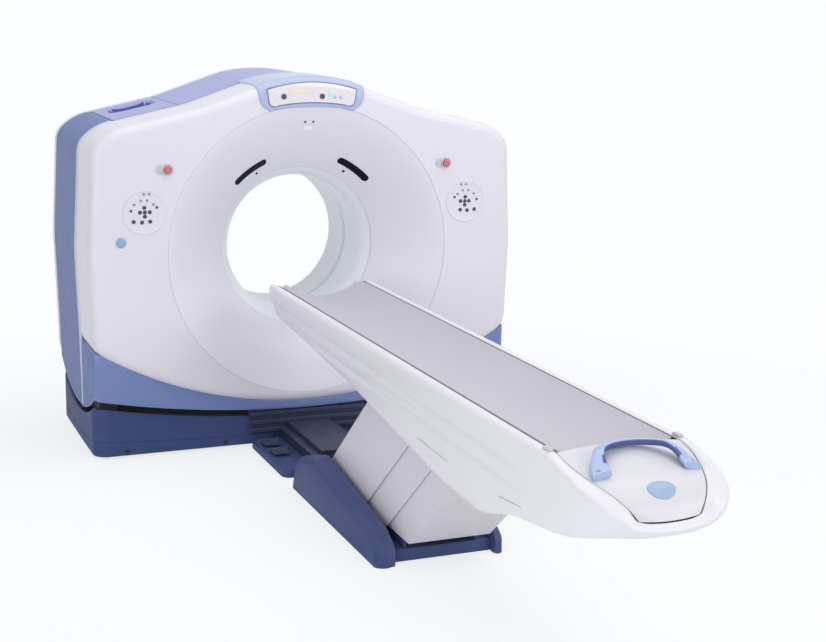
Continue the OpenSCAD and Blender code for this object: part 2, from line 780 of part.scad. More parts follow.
// Leaning side slats that cover the lift, in layers that slide past each other
slat_layer = slat_t + 2;
slat_low = 106;
slat_high = 600;
slat_lap = 24;
module slat(i) {
    y0 = slat_edges[i];
    y1 = slat_edges[i + 1] - slat_lap;
    low = slat_low - pivot_z;
    high = slat_high - pivot_z;
    x1 = slat_half_w - i * slat_layer;
    color([0.82, 0.82, 0.86]) {
        both_sides() along_x(x1 - slat_t, x1)
            polygon([[y0 - low * lean, slat_low], [y0 - high * lean, slat_high], [y1 - high * lean, slat_high],
                     [y1 - low * lean, slat_low]]);
        translate([0, slat_pins[i], pivot_z]) cyl_x(rod_r, -x1 + slat_t / 2, x1 - slat_t / 2);
    }
}
module slats_head() { slat(0); }
module slats_middle() { slat(1); }
module slats_foot() {
    y1 = slat_edges[3] - slat_lap;
    low = slat_low - pivot_z;
    high = slat_high - pivot_z;
    x1 = slat_half_w - 2 * slat_layer - slat_t / 2;
    slat(2);
    color([0.6, 0.58, 0.65]) along_x(-x1, x1)
        polygon([[y1 - low * lean, slat_low], [y1 - high * lean, slat_high], [y1 - high * lean + slat_t, slat_high],
                 [y1 - low * lean + slat_t, slat_low]]);
}

// White table body, through sections [distance from the head end, half width, underside, top]
body_end = head_y - body_l;
channel_floor = table_z - cradle_sag - cradle_t - 14;
deck_t = 15;
body_sections = [[0, body_half_w - 40, 752, table_z - 14], [30, body_half_w - 10, 728, table_z],
                 [110, body_half_w, 708, table_z], [1040, body_half_w, 622, table_z],
                 [1700, body_half_w, 540, table_z], [2120, body_half_w, 492, table_z],
                 [2330, body_half_w, 490, table_z], [2620, body_half_w, 560, table_z],
                 [body_l, body_half_w, 600, table_z]];
flank_drop = 60;
flank_in = 22;
keel_in = 44;
keel_rise = 46;
drop_share = 0.35;
rise_share = 0.3;
lip_r = 12;
function section_loop(w, low, high) =
    let (drop = min(flank_drop, drop_share * (high - low)), rise = min(keel_rise, rise_share * (high - low)))
    [for (p = mirrored([[0, high], [w - lip_r, high], [w, high - lip_r], [w, high - drop],
                        [w - flank_in, low + rise], [w - keel_in, low]])) [p[0], p[1]]];
function flank_x(w, low, z) = w - flank_in * (table_z - flank_drop - z) / (table_z - flank_drop - low - keel_rise);
function hollow_loop(w, low, high, d) = [for (p = mirrored([[0, high], [flank_x(w, low, high) - d, high],
    [w - flank_in - d, low + keel_rise], [w - keel_in - d, low + d]])) [p[0], p[1]]];
hollow = [for (i = [7 : -1 : 3]) body_sections[i]];
module sections_skin(list, y0) {
    skin([for (s = reversed(list)) section_loop(s[1], s[2], s[3])], [for (s = reversed(list)) y0 - s[0]]);
}
mouth_start = head_y - 1060;
mouth_end = head_y - 2330;
mouth_half_w = slat_half_w + 8;
mouth_low = 400;
mouth_high = 650;
module table_body() {
    color([0.91, 0.91, 0.93]) difference() {
        sections_skin(body_sections, head_y);
        skin([for (s = hollow) hollow_loop(s[1], s[2], channel_floor - deck_t, body_wall)],
             [for (s = hollow) head_y - s[0]]);
        box(-cradle_half_w - cradle_gap, cradle_half_w + cradle_gap, body_end - eps, head_y + eps,
            channel_floor, table_z + eps);
        box(-mouth_half_w, mouth_half_w, mouth_end, mouth_start, mouth_low, mouth_high);
    }
}
frame_lug = 50;
frame_over = 60;
frame_low = pivot_z + arm_rise - frame_lug;
module table_frame() {
    tops = [front_pivot_y - arm_run, rear_pivot_y - arm_run];
    color([0.5, 0.52, 0.55]) difference() {
        both_sides()
            box(lug_in, lug_in + lug_t, tops[1] - frame_over, tops[0] + frame_over, frame_low,
                channel_floor - deck_t);
        lug_bores(tops, pivot_z + arm_rise, pin_r);
    }
}
cap_sections = [[0, body_half_w, 600, table_z], [0.23 * cap_l, body_half_w, 618, table_z],
                [0.43 * cap_l, body_half_w, 640, table_z], [0.64 * cap_l, body_half_w - 7, 670, table_z - 12],
                [0.81 * cap_l, body_half_w - 30, 700, table_z - 34],
                [0.92 * cap_l, body_half_w - 72, 722, table_z - 54],
                [0.98 * cap_l, body_half_w - 142, 742, table_z - 72],
                [cap_l, body_half_w - 200, 758, table_z - 86]];
module foot_cap() {
    color([0.92, 0.92, 0.94]) sections_skin(cap_sections, body_end);
}

// Cradle: a shallow trough on two runners
cradle_head = head_y - 20;
cradle_tail = cradle_head - cradle_l;
cradle_r = (pow(cradle_half_w, 2) + pow(cradle_sag, 2)) / (2 * cradle_sag);
cradle_axis = table_z - cradle_sag + cradle_r;
runner_w = 20;
runner_low = channel_floor + 0.3;
module cradle_arc(r) { translate([0, cradle_axis]) circle(r = r, $fn = 256); }
module cradle() {
    color([0.78, 0.78, 0.82]) along_y(cradle_tail, cradle_head) union() {
        difference() {
            intersection() {
                cradle_arc(cradle_r + cradle_t);
                translate([-cradle_half_w, 0]) square([2 * cradle_half_w, table_z]);
            }
            cradle_arc(cradle_r);
        }
        for (side = [-1, 1]) difference() {
            translate([side * runner_x - runner_w / 2, runner_low]) square([runner_w, cradle_sag]);
            cradle_arc(cradle_r + cradle_t / 2);
        }
    }
}
runner_inner = runner_x - runner_w / 2;
carriage_t = 9;
module cradle_carriage() {
    color([0.35, 0.36, 0.4]) box(-runner_inner, runner_inner, cradle_tail + 20, cradle_tail + 220, runner_low + 1,
                                 runner_low + 1 + carriage_t);
}
socket_r = 4;
socket_pitch = 120;
socket_l = 70;
module head_socket() {
    color([0.4, 0.41, 0.45]) difference() {
        box(-runner_inner, runner_inner, cradle_head - socket_l, cradle_head, runner_low + 0.5, runner_low + 11.5);
        for (side = [-1, 1]) translate([side * socket_pitch / 2, 0, runner_low + 6])
            cyl_y(socket_r, cradle_head - socket_l + 20, cradle_head + eps);
    }
}

// Blue arched handle on the foot cap, and the latch blocks behind the cradle
handle_r = 186;
handle_w = 34;
handle_t = 18;
handle_y = body_end - 200;
module cradle_handle() {
    color([0.6, 0.72, 0.9]) translate([0, handle_y, table_z]) rotate([0, 0, 24])
        rotate_extrude(angle = 132, $fn = 128) translate([handle_r - handle_w, 0]) square([handle_w, handle_t]);
}
latch_l = 40;
latch_h = 14;
module cradle_latches() {
    inner = cradle_half_w + cradle_gap + 3;
    color([0.25, 0.25, 0.28]) both_sides()
        box(inner, body_half_w - 16, body_end + 10, body_end + 10 + latch_l, table_z, table_z + latch_h);
}

gantry_base();
levelling_feet();
tilt_stand_left();
tilt_stand_right();
tilt_gearbox();
stator_frame();
main_bearing();
drive_coils();
front_cover();
funnel_ring();
lower_trim();
side_cover_left();
side_cover_right();
top_cover();
rear_cover();
rear_funnel();
bore_liner_front();
bore_liner_rear();
scan_window();
laser_windows();
display_bezel();
display_panel();
control_panel_left();
control_panel_right();
stop_collars();
stop_button_left();
stop_button_right();
rotor_drum();
slip_ring();
xray_tube();
beam_collimator();
detector_arc();
high_voltage_unit();
power_unit();
balance_weights();
brush_block();
table_base();
dock_plate();
dock_beam();
pedal_up();
pedal_down();
lift_motor();
lift_arms_front();
lift_arms_rear();
slats_head();
slats_middle();
slats_foot();
table_body();
table_frame();
foot_cap();
cradle();
cradle_carriage();
cradle_handle();
cradle_latches();
head_socket();
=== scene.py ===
import math
import bmesh
import bpy
import numpy as np
from mathutils import Matrix, Vector


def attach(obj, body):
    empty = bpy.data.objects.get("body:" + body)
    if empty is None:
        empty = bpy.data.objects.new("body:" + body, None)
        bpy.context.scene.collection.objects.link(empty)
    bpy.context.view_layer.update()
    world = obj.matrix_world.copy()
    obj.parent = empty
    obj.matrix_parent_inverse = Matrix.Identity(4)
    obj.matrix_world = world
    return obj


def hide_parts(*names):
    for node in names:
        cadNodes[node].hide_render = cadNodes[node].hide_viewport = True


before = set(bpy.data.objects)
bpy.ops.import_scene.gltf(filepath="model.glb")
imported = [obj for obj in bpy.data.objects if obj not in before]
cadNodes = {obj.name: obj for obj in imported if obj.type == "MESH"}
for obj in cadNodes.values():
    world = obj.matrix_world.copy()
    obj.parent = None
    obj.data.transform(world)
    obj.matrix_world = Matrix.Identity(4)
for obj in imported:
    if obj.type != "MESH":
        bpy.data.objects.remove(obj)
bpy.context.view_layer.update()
scene = bpy.context.scene
scene.view_settings.view_transform = "Standard"

# camera, in metres and degrees, lens and sensor in millimetres
photoCamera = {
    "place": (-2.3606, -7.5069, 2.2351), "yaw": 22.6, "pitch": 12.1, "roll": 1.1,
    "lens": 65.37, "sensor": 36.0, "clipEnd": 200,
}


def addCamera(cfg):
    yaw, pitch, roll = (math.radians(cfg[k]) for k in ("yaw", "pitch", "roll"))
    forward = Vector((math.sin(yaw) * math.cos(pitch), math.cos(yaw) * math.cos(pitch), -math.sin(pitch)))
    level = Vector((math.cos(yaw), -math.sin(yaw), 0))
    right = level * math.cos(roll) + level.cross(forward) * math.sin(roll)
    turn = Matrix((right, right.cross(forward), -forward)).transposed()
    data = bpy.data.cameras.new("photoCamera")
    data.lens = cfg["lens"]
    data.sensor_width = cfg["sensor"]
    data.sensor_fit = "HORIZONTAL"
    data.clip_end = cfg["clipEnd"]
    cam = bpy.data.objects.new("photoCamera", data)
    cam.matrix_world = Matrix.Translation(cfg["place"]) @ turn.to_4x4()
    scene.collection.objects.link(cam)
    scene.camera = cam


addCamera(photoCamera)
print("camera placed")


# shader helpers: a socket is linked, anything else is set as a value
def feed(tree, node, values):
    for socket, value in values.items():
        if isinstance(value, bpy.types.NodeSocket):
            tree.links.new(value, node.inputs[socket])
        else:
            node.inputs[socket].default_value = value


def addNode(tree, kind, values, **settings):
    node = tree.nodes.new("ShaderNode" + kind)
    for setting, value in settings.items():
        setattr(node, setting, value)
    feed(tree, node, values)
    return node


def mathNode(tree, operation, a, b):
    return addNode(tree, "Math", {0: a, 1: b}, operation=operation).outputs[0]


def mixColour(tree, factor, a, b):
    return addNode(tree, "Mix", {0: factor, 6: a, 7: b}, data_type="RGBA").outputs[2]


def noiseNode(tree, place, scale, detail):
    return addNode(tree, "TexNoise", {"Vector": place, "Scale": scale, "Detail": detail}).outputs["Fac"]


def rampNode(tree, value, low, high):
    return addNode(tree, "MapRange", {"Value": value, "From Min": low, "From Max": high}).outputs["Result"]


def newGroup(name, takes, gives):
    group = bpy.data.node_groups.new(name, "ShaderNodeTree")
    for label, value in takes.items():
        kind = "NodeSocketColor" if isinstance(value, tuple) else "NodeSocketFloat"
        group.interface.new_socket(name=label, in_out="INPUT", socket_type=kind).default_value = value
    for label, kind in gives.items():
        group.interface.new_socket(name=label, in_out="OUTPUT", socket_type="NodeSocket" + kind)
    return group, group.nodes.new("NodeGroupInput").outputs, group.nodes.new("NodeGroupOutput")


# studio: pale floor, soft light from above, from the front right and, weaker, from the left
studio = {
    "floorHalf": 40.0,
    "floorColour": (0.9, 0.905, 0.91, 1),
    "backColour": (0.973, 0.989, 1.0, 1),
    "floorGlow": 0.76,
    "glowFade": (1.6, 4.6),
    "glowMiddle": (0.0, -1.4, 0.0),
    "worldColour": (0.97, 0.98, 1.0, 1),
    "worldLight": 0.58,
    "lamps": {
        "overheadSoft": {"place": (0.6, -1.6, 6.2), "aim": (0, -1.4, 0.6), "size": (6, 7), "power": 190},
        "frontRight": {"place": (4.6, -8.4, 4.2), "aim": (0, -0.8, 0.9), "size": (4, 4), "power": 190},
        "leftFill": {"place": (-4.6, -6.6, 1.9), "aim": (0, -0.7, 0.7), "size": (4, 2.6), "power": 108},
    },
}


def seenRays(tree):
    path = addNode(tree, "LightPath", {}).outputs
    seen = mathNode(tree, "MAXIMUM", path["Is Camera Ray"], path["Is Glossy Ray"])
    return mathNode(tree, "MAXIMUM", seen, path["Is Transmission Ray"])


def addWorld(cfg):
    world = bpy.data.worlds.new("studioWorld")
    world.use_nodes = True
    tree = world.node_tree
    tree.nodes.clear()
    light = addNode(tree, "Background", {"Color": cfg["worldColour"], "Strength": cfg["worldLight"]})
    seen = addNode(tree, "Background", {"Color": cfg["backColour"]})
    mix = addNode(tree, "MixShader", {0: seenRays(tree), 1: light.outputs[0], 2: seen.outputs[0]})
    addNode(tree, "OutputWorld", {"Surface": mix.outputs[0]})
    scene.world = world


def addFloor(cfg):
    half = cfg["floorHalf"]
    mesh = bpy.data.meshes.new("studioFloor")
    corners = [(-half, -half, 0), (half, -half, 0), (half, half, 0), (-half, half, 0)]
    mesh.from_pydata(corners, [], [(0, 1, 2, 3)])
    floor = bpy.data.objects.new("studioFloor", mesh)
    scene.collection.objects.link(floor)
    mat = bpy.data.materials.new("paleFloor")
    mat.use_nodes = True
    tree = mat.node_tree
    tree.nodes.clear()
    matte = addNode(tree, "BsdfDiffuse", {"Color": cfg["floorColour"]})
    glow = addNode(tree, "Emission", {"Color": cfg["backColour"]})
    spot = addNode(tree, "NewGeometry", {}).outputs["Position"]
    far = addNode(tree, "VectorMath", {0: spot, 1: cfg["glowMiddle"]}, operation="DISTANCE").outputs["Value"]
    near, end = cfg["glowFade"]
    fade = addNode(tree, "MapRange", {"Value": far, "From Min": near, "From Max": end, "To Max": 1.0,
                                      "To Min": cfg["floorGlow"]}, interpolation_type="SMOOTHSTEP")
    share = mathNode(tree, "MULTIPLY", seenRays(tree), fade.outputs[0])
    mix = addNode(tree, "MixShader", {0: share, 1: matte.outputs[0], 2: glow.outputs[0]})
    addNode(tree, "OutputMaterial", {"Surface": mix.outputs[0]})
    mesh.materials.append(mat)


def addLamp(name, lamp):
    data = bpy.data.lights.new(name, "AREA")
    data.shape = "RECTANGLE"
    data.size, data.size_y = lamp["size"]
    data.energy = lamp["power"]
    obj = bpy.data.objects.new(name, data)
    way = Vector(lamp["aim"]) - Vector(lamp["place"])
    obj.matrix_world = Matrix.Translation(lamp["place"]) @ way.to_track_quat("-Z", "Y").to_matrix().to_4x4()
    scene.collection.objects.link(obj)


addWorld(studio)
addFloor(studio)
for lampName, lampSettings in studio["lamps"].items():
    addLamp(lampName, lampSettings)
print("studio lit")


def linear(colour):
    shares = [c / 255 for c in colour]
    return (*(c / 12.92 if c <= 0.04045 else ((c + 0.055) / 1.055) ** 2.4 for c in shares), 1.0)


# moulded plastic: slow drift of tone, fine pebble grain, a little handling gloss
def buildMouldedSkin():
    tree, src, out = newGroup(
        "mouldedSkin",
        {"Colour": (0.8, 0.8, 0.8, 1), "Shade": (0.7, 0.7, 0.7, 1), "Drift": 0.5, "Drift Scale": 1.7,
         "Grain Scale": 420.0, "Grain Depth": 0.1, "Rough Low": 0.35, "Rough High": 0.5},
        {"Colour": "Color", "Roughness": "Float", "Normal": "Vector"})
    where = addNode(tree, "TexCoord", {}).outputs["Object"]
    slow = noiseNode(tree, where, src["Drift Scale"], 4.0)
    fine = noiseNode(tree, where, src["Grain Scale"], 2.0)
    both = mathNode(tree, "ADD", slow, mathNode(tree, "MULTIPLY", fine, 0.25))
    amount = mathNode(tree, "MULTIPLY", both, src["Drift"])
    smear = noiseNode(tree, where, 9.0, 5.0)
    span = mathNode(tree, "SUBTRACT", src["Rough High"], src["Rough Low"])
    rough = mathNode(tree, "ADD", src["Rough Low"], mathNode(tree, "MULTIPLY", span, smear))
    bump = addNode(tree, "Bump", {"Distance": 0.0004, "Height": fine, "Strength": src["Grain Depth"]})
    feed(tree, out, {"Colour": mixColour(tree, amount, src["Colour"], src["Shade"]), "Roughness": rough,
                     "Normal": bump.outputs["Normal"]})
    return tree


# lighter rubbed edges as wear, and darker concave corners as painted shade, from the curvature of the mesh
def buildEdgeWearAndCornerShade():
    tree, src, out = newGroup(
        "edgeWearAndCornerShade", {"Colour": (0.8, 0.8, 0.8, 1), "Worn": (0.9, 0.9, 0.9, 1), "Wear": 0.3, "CornerShade": 0.3},
        {"Colour": "Color"})
    where = addNode(tree, "TexCoord", {}).outputs["Object"]
    bend = addNode(tree, "NewGeometry", {}).outputs["Pointiness"]
    patch = noiseNode(tree, where, 24.0, 5.0)
    rubbed = mathNode(tree, "MULTIPLY", rampNode(tree, bend, 0.52, 0.6), patch)
    wear = mathNode(tree, "MULTIPLY", rubbed, src["Wear"])
    # concave corners mixed toward near-black: painted shade
    cornerShade = mathNode(tree, "MULTIPLY", rampNode(tree, bend, 0.47, 0.4), src["CornerShade"])
    worn = mixColour(tree, wear, src["Colour"], src["Worn"])
    feed(tree, out, {"Colour": mixColour(tree, cornerShade, worn, (0.05, 0.05, 0.07, 1))})
    return tree


# thin dust that settles on faces that look up
def buildDustFall():
    tree, src, out = newGroup(
        "dustFall", {"Colour": (0.8, 0.8, 0.8, 1), "Dust": (0.7, 0.7, 0.7, 1), "Amount": 0.1},
        {"Colour": "Color"})
    coords = addNode(tree, "TexCoord", {}).outputs
    facing = addNode(tree, "SeparateXYZ", {0: coords["Normal"]}).outputs["Z"]
    cloud = noiseNode(tree, coords["Object"], 6.0, 6.0)
    settled = mathNode(tree, "MULTIPLY", mathNode(tree, "MAXIMUM", facing, 0.0), cloud)
    mask = mathNode(tree, "MULTIPLY", settled, src["Amount"])
    feed(tree, out, {"Colour": mixColour(tree, mask, src["Colour"], src["Dust"])})
    return tree


mouldedSkin = buildMouldedSkin()
edgeWearAndCornerShade = buildEdgeWearAndCornerShade()
dustFall = buildDustFall()

# finishes: colour and shade as they read in the photo, roughness, and what differs from the plain one
plainFinish = {"drift": 0.8, "driftScale": 1.7, "grain": 420.0, "depth": 0.1, "wear": 0.25, "cornerShade": 0.22,
               "dust": 0.1, "coat": 0.0, "coatRough": 0.12, "spec": 0.4, "metal": 0.0}
dustTone = (206, 204, 208)
wornShare = 0.4
satinBlue = {"drift": 0.6, "dust": 0.04}
finishes = {
    "whiteCover": ((221, 219, 228), (213, 211, 221), (0.34, 0.46), {"coat": 0.12}),
    "funnelGrey": ((223, 221, 230), (216, 214, 224), (0.4, 0.52), {"coat": 0.05}),
    "sideBlue": ((94, 114, 170), (78, 98, 154), (0.4, 0.52), {"coat": 0.03, "spec": 0.16, **satinBlue}),
    "topBlue": ((156, 161, 210), (142, 148, 200), (0.36, 0.48), {"coat": 0.05, "spec": 0.2, **satinBlue}),
    "trimBlue": ((112, 131, 182), (101, 120, 172), (0.28, 0.4), {"coat": 0.14, "drift": 0.6}),
    "navyBase": ((68, 81, 126), (58, 71, 114), (0.42, 0.55), {"spec": 0.08, "drift": 0.7, "dust": 0.05}),
    "darkBeam": ((34, 44, 80), (25, 33, 62), (0.4, 0.55), {"drift": 0.7}),
    "linerWhite": ((236, 238, 242), (228, 231, 237), (0.3, 0.4), {"coat": 0.1}),
    "windowFilm": ((196, 213, 222), (180, 200, 211), (0.12, 0.2), {"coat": 0.3}),
    "laserBlack": ((24, 22, 36), (16, 15, 27), (0.3, 0.42), {"spec": 0.12, "dust": 0.0, "wear": 0.05}),
    "bezelBlue": ((172, 182, 214), (160, 171, 206), (0.28, 0.38), {"coat": 0.2}),
    "screenWhite": ((226, 222, 226), (216, 213, 219), (0.1, 0.18), {"coat": 0.3}),
    "panelGrey": ((221, 219, 227), (212, 210, 220), (0.45, 0.58), {}),
    "collarGrey": ((198, 195, 203), (186, 183, 192), (0.4, 0.5), {}),
    "stopRed": ((206, 112, 126), (192, 94, 110), (0.25, 0.36), {"coat": 0.3}),
    "rubberBlack": ((40, 40, 46), (30, 30, 36), (0.65, 0.8), {"grain": 260.0, "depth": 0.4}),
    "slatWhite": ((212, 210, 218), (202, 200, 210), (0.38, 0.5), {}),
    "tableWhite": ((226, 225, 231), (218, 217, 225), (0.34, 0.46), {"coat": 0.1}),
    "cradleGrey": ((190, 188, 197), (181, 179, 189), (0.48, 0.6), {"grain": 300.0, "depth": 0.22}),
    "handleBlue": ((166, 186, 224), (150, 170, 212), (0.22, 0.32), {"coat": 0.25}),
    "steelGrey": ((150, 152, 158), (128, 130, 137), (0.3, 0.45), {"metal": 0.85, "wear": 0.5}),
    "darkSteel": ((86, 88, 95), (68, 70, 77), (0.38, 0.52), {"metal": 0.7, "wear": 0.5}),
    "copperBand": ((190, 134, 84), (168, 110, 64), (0.28, 0.4), {"metal": 0.95, "wear": 0.4}),
    "keyGrey": ((72, 72, 80), (58, 58, 66), (0.5, 0.6), {}),
    # dark blue-grey for the side covers' groove floor, painted shade
    "seamShade": ((92, 96, 122), (80, 84, 110), (0.5, 0.6), {}),
    # grey for the strips on the table's flank, painted shade of a slot and a crease
    "flankPaintedShade": ((172, 173, 188), (162, 163, 180), (0.5, 0.6), {}),
    "seamBlue": ((150, 156, 204), (140, 147, 196), (0.4, 0.5), {}),
    # darker blue for the grip wells, painted shade
    "gripBlue": ((78, 84, 156), (66, 72, 142), (0.45, 0.55), {"spec": 0.15, "dust": 0.03}),
    # pale blue for the side covers' rounded front edge, a painted highlight
    "edgeBlue": ((196, 206, 230), (182, 194, 222), (0.3, 0.42), {"coat": 0.2}),
    "frameBlue": ((112, 122, 168), (98, 108, 156), (0.35, 0.45), {}),
    # near-black for the vent slots and the base's hollow top, painted shadow
    "gapBlack": ((9, 13, 34), (5, 8, 24), (0.6, 0.75), {}),
    "pedalNavy": ((50, 58, 96), (40, 48, 84), (0.5, 0.62), {}),
    "keyPale": ((150, 150, 162), (132, 132, 146), (0.4, 0.5), {}),
    # dark navy for the handle's inner faces, painted shade
    "handlePaintedShade": ((84, 96, 146), (70, 82, 132), (0.4, 0.5), {"spec": 0.2}),
    "markSand": ((236, 222, 206), (228, 212, 194), (0.3, 0.4), {}),
    "markGreen": ((204, 226, 222), (190, 214, 212), (0.3, 0.4), {}),
    "capWhite": ((213, 212, 219), (206, 205, 213), (0.32, 0.44), {"coat": 0.1}),
    "badgeBlue": ((150, 174, 204), (130, 158, 192), (0.2, 0.3), {"coat": 0.4}),
}


def addFinish(name, colour, shade, rough, changes):
    cfg = {**plainFinish, **changes}
    mat = bpy.data.materials.new(name)
    mat.use_nodes = True
    tree = mat.node_tree
    skin = addNode(tree, "Group", {
        "Colour": linear(colour), "Shade": linear(shade), "Drift": cfg["drift"],
        "Drift Scale": cfg["driftScale"], "Grain Scale": cfg["grain"], "Grain Depth": cfg["depth"],
        "Rough Low": rough[0], "Rough High": rough[1],
    }, node_tree=mouldedSkin)
    light = linear([c + (255 - c) * wornShare for c in colour])
    wear = addNode(tree, "Group", {"Colour": skin.outputs["Colour"], "Worn": light, "Wear": cfg["wear"],
                                   "CornerShade": cfg["cornerShade"]}, node_tree=edgeWearAndCornerShade)
    dust = addNode(tree, "Group", {"Colour": wear.outputs["Colour"], "Dust": linear(dustTone),
                                   "Amount": cfg["dust"]}, node_tree=dustFall)
    feed(tree, tree.nodes["Principled BSDF"], {
        "Base Color": dust.outputs["Colour"], "Roughness": skin.outputs["Roughness"],
        "Normal": skin.outputs["Normal"], "Coat Weight": cfg["coat"], "Coat Roughness": cfg["coatRough"],
        "Specular IOR Level": cfg["spec"], "Metallic": cfg["metal"]})
    return mat


finish = {name: addFinish(name, *settings) for name, settings in finishes.items()}

# every solid's finish, also for those that a smoother piece stands for
nodeFinish = {
    "navyBase": "gantry_base table_base dock_plate", "rubberBlack": "levelling_feet pedal_up pedal_down",
    "darkBeam": "dock_beam", "whiteCover": "front_cover rear_cover", "funnelGrey": "funnel_ring rear_funnel",
    "trimBlue": "lower_trim", "sideBlue": "side_cover_left side_cover_right", "topBlue": "top_cover",
    "linerWhite": "bore_liner_front bore_liner_rear", "windowFilm": "scan_window",
    "laserBlack": "laser_windows", "bezelBlue": "display_bezel", "screenWhite": "display_panel",
    "collarGrey": "stop_collars",
    "panelGrey": "control_panel_left control_panel_right", "stopRed": "stop_button_left stop_button_right",
    "copperBand": "slip_ring drive_coils",
    "steelGrey": "tilt_stand_left tilt_stand_right stator_frame main_bearing rotor_drum lift_arms_front "
                 "lift_arms_rear table_frame",
    "darkSteel": "tilt_gearbox xray_tube beam_collimator detector_arc high_voltage_unit power_unit "
                 "balance_weights brush_block lift_motor cradle_carriage head_socket",
    "slatWhite": "slats_head slats_middle slats_foot", "tableWhite": "table_body foot_cap",
    "cradleGrey": "cradle", "handleBlue": "cradle_handle", "keyGrey": "cradle_latches",
}
for finishName, listed in nodeFinish.items():
    for nodeName in listed.split():
        slots = cadNodes[nodeName].material_slots
        if not slots:
            cadNodes[nodeName].data.materials.append(finish[finishName])
        for materialSlot in slots:
            materialSlot.material = finish[finishName]
print("finishes on", len(cadNodes), "solids")


# mesh helpers: a part is a list of vertices with a list of faces
def joinParts(parts):
    verts, faces = [], []
    for v, f in parts:
        start = len(verts)
        verts += list(v)
        faces += [tuple(i + start for i in q) for q in f]
    return verts, faces


def thicken(obj, depth):
    mod = obj.modifiers.new("wall", "SOLIDIFY")
    mod.thickness = depth
    mod.offset = -1
    mod.use_even_offset = False


def softEdges(obj, width, segments, angle):
    mod = obj.modifiers.new("softEdges", "BEVEL")
    mod.width = width
    mod.segments = segments
    mod.limit_method = "ANGLE"
    mod.angle_limit = math.radians(angle)
    mod.harden_normals = True


def addPiece(name, parts, body, slotName, looks, stands=(), sharp=32, inside=None, lookOf=None, wall=0,
             soft=None):
    verts, faces = joinParts(parts)
    mesh = bpy.data.meshes.new(name)
    mesh.from_pydata([tuple(float(c) for c in v) for v in verts], [], faces)
    mesh.update()
    bm = bmesh.new()
    bm.from_mesh(mesh)
    bmesh.ops.recalc_face_normals(bm, faces=bm.faces)
    if inside is not None:
        middle = Vector(inside)
        if sum(f.normal.dot(f.calc_center_median() - middle) * f.calc_area() for f in bm.faces) < 0:
            bmesh.ops.reverse_faces(bm, faces=bm.faces)
    bm.to_mesh(mesh)
    bm.free()
    for look in looks:
        mesh.materials.append(finish[look])
    if lookOf is not None:
        for i, poly in enumerate(mesh.polygons):
            poly.material_index = lookOf(poly.center, i)
    mesh.shade_smooth()
    mesh.set_sharp_from_angle(angle=math.radians(sharp))
    obj = bpy.data.objects.new(name, mesh)
    scene.collection.objects.link(obj)
    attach(obj, body)
    if stands:
        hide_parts(*stands)
    if wall:
        thicken(obj, wall)
    if soft:
        softEdges(obj, *soft)


def gantryPiece(name, parts, *args, **kw):
    addPiece(name, parts, "tilting_gantry", *args, **kw)


def loft(rings, closed=False, caps=False, drop=None):
    # grid of faces through the rings, without those whose middle drop picks out
    rows, cols = len(rings), len(rings[0])
    verts = [p for ring in rings for p in ring]
    faces = []
    for r in range(rows - 1):
        for c in range(cols if closed else cols - 1):
            here, beside = r * cols + c, r * cols + (c + 1) % cols
            faces.append((here, beside, beside + cols, here + cols))
    if drop:
        places = np.array(verts)
        faces = [f for f in faces if not drop(places[list(f)].mean(axis=0))]
    if caps:
        faces += [tuple(range(cols)), tuple((rows - 1) * cols + c for c in range(cols))]
    return verts, faces


def prismPart(lower, upper):
    return loft([lower, upper], closed=True, caps=True)


def boxPart(lo, hi):
    (x0, y0, z0), (x1, y1, z1) = lo, hi
    return prismPart(*([(x0, y0, z), (x1, y0, z), (x1, y1, z), (x0, y1, z)] for z in (z0, z1)))


def revolvePart(profile, centre, axis, steps):
    # (radius, along) points turned about an axis through the centre
    way = Vector(axis).normalized()
    side = way.orthogonal().normalized()
    other = way.cross(side)
    turns = [math.radians(360.0 * k / steps) for k in range(steps)]
    return loft([[Vector(centre) + way * a + (side * math.cos(t) + other * math.sin(t)) * r for t in turns]
                 for r, a in profile], closed=True)


def quarter(count):
    # cosine and sine at even steps of a quarter turn
    turns = [math.pi / 2 * k / count for k in range(count + 1)]
    return [(math.cos(t), math.sin(t)) for t in turns]


def arcPoints(a, b, c, radius, steps):
    a, b, c = (np.array(p[:2], float) for p in (a, b, c))
    u, v = (a - b) / np.linalg.norm(a - b), (c - b) / np.linalg.norm(c - b)
    half = math.acos(max(-1.0, min(1.0, float(u @ v)))) / 2
    mid = (u + v) / np.linalg.norm(u + v)
    centre = b + mid * (radius / math.sin(half))
    p, q = (b + way * (radius / math.tan(half)) - centre for way in (u, v))
    start = math.atan2(p[1], p[0])
    sweep = math.atan2(p[0] * q[1] - p[1] * q[0], float(p @ q))
    turns = [start + sweep * i / steps for i in range(steps + 1)]
    return [centre + radius * np.array([math.cos(t), math.sin(t)]) for t in turns]


def roundedLoop(points, steps=10):
    # closed loop of (x, y, radius) corners
    out, n = [], len(points)
    for i, p in enumerate(points):
        if p[2] > 0:
            out += arcPoints(points[i - 1], p, points[(i + 1) % n], p[2], steps)
        else:
            out.append(np.array(p[:2], float))
    return np.array(out)


def runAlong(line, least=0.0):
    return np.concatenate([[0], np.cumsum(np.maximum(np.linalg.norm(np.diff(line, axis=0), axis=1), least))])


def evenly(line, count):
    # the same line with a given number of evenly spaced points
    line = np.array(line, float)
    run = runAlong(line)
    at = np.linspace(0, run[-1], count)
    return np.stack([np.interp(at, run, line[:, k]) for k in range(line.shape[1])], axis=1)


def resampled(line, step, closed=False):
    line = np.array(line, float)
    if closed:
        line = np.vstack([line, line[:1]])
    out = evenly(line, max(2, int(round(runAlong(line)[-1] / step))) + 1)
    return out[:-1] if closed else out


def insetLoop(loop, depth):
    tangent = np.roll(loop, -1, axis=0) - np.roll(loop, 1, axis=0)
    tangent /= np.linalg.norm(tangent, axis=1)[:, None]
    return loop + depth * np.stack([tangent[:, 1], -tangent[:, 0]], axis=1)


def smoothstep(v):
    v = np.clip(v, 0.0, 1.0)
    return v * v * (3 - 2 * v)


def planeRing(loop, y):
    return np.stack([loop[:, 0], np.full(len(loop), y), loop[:, 1]], axis=1)


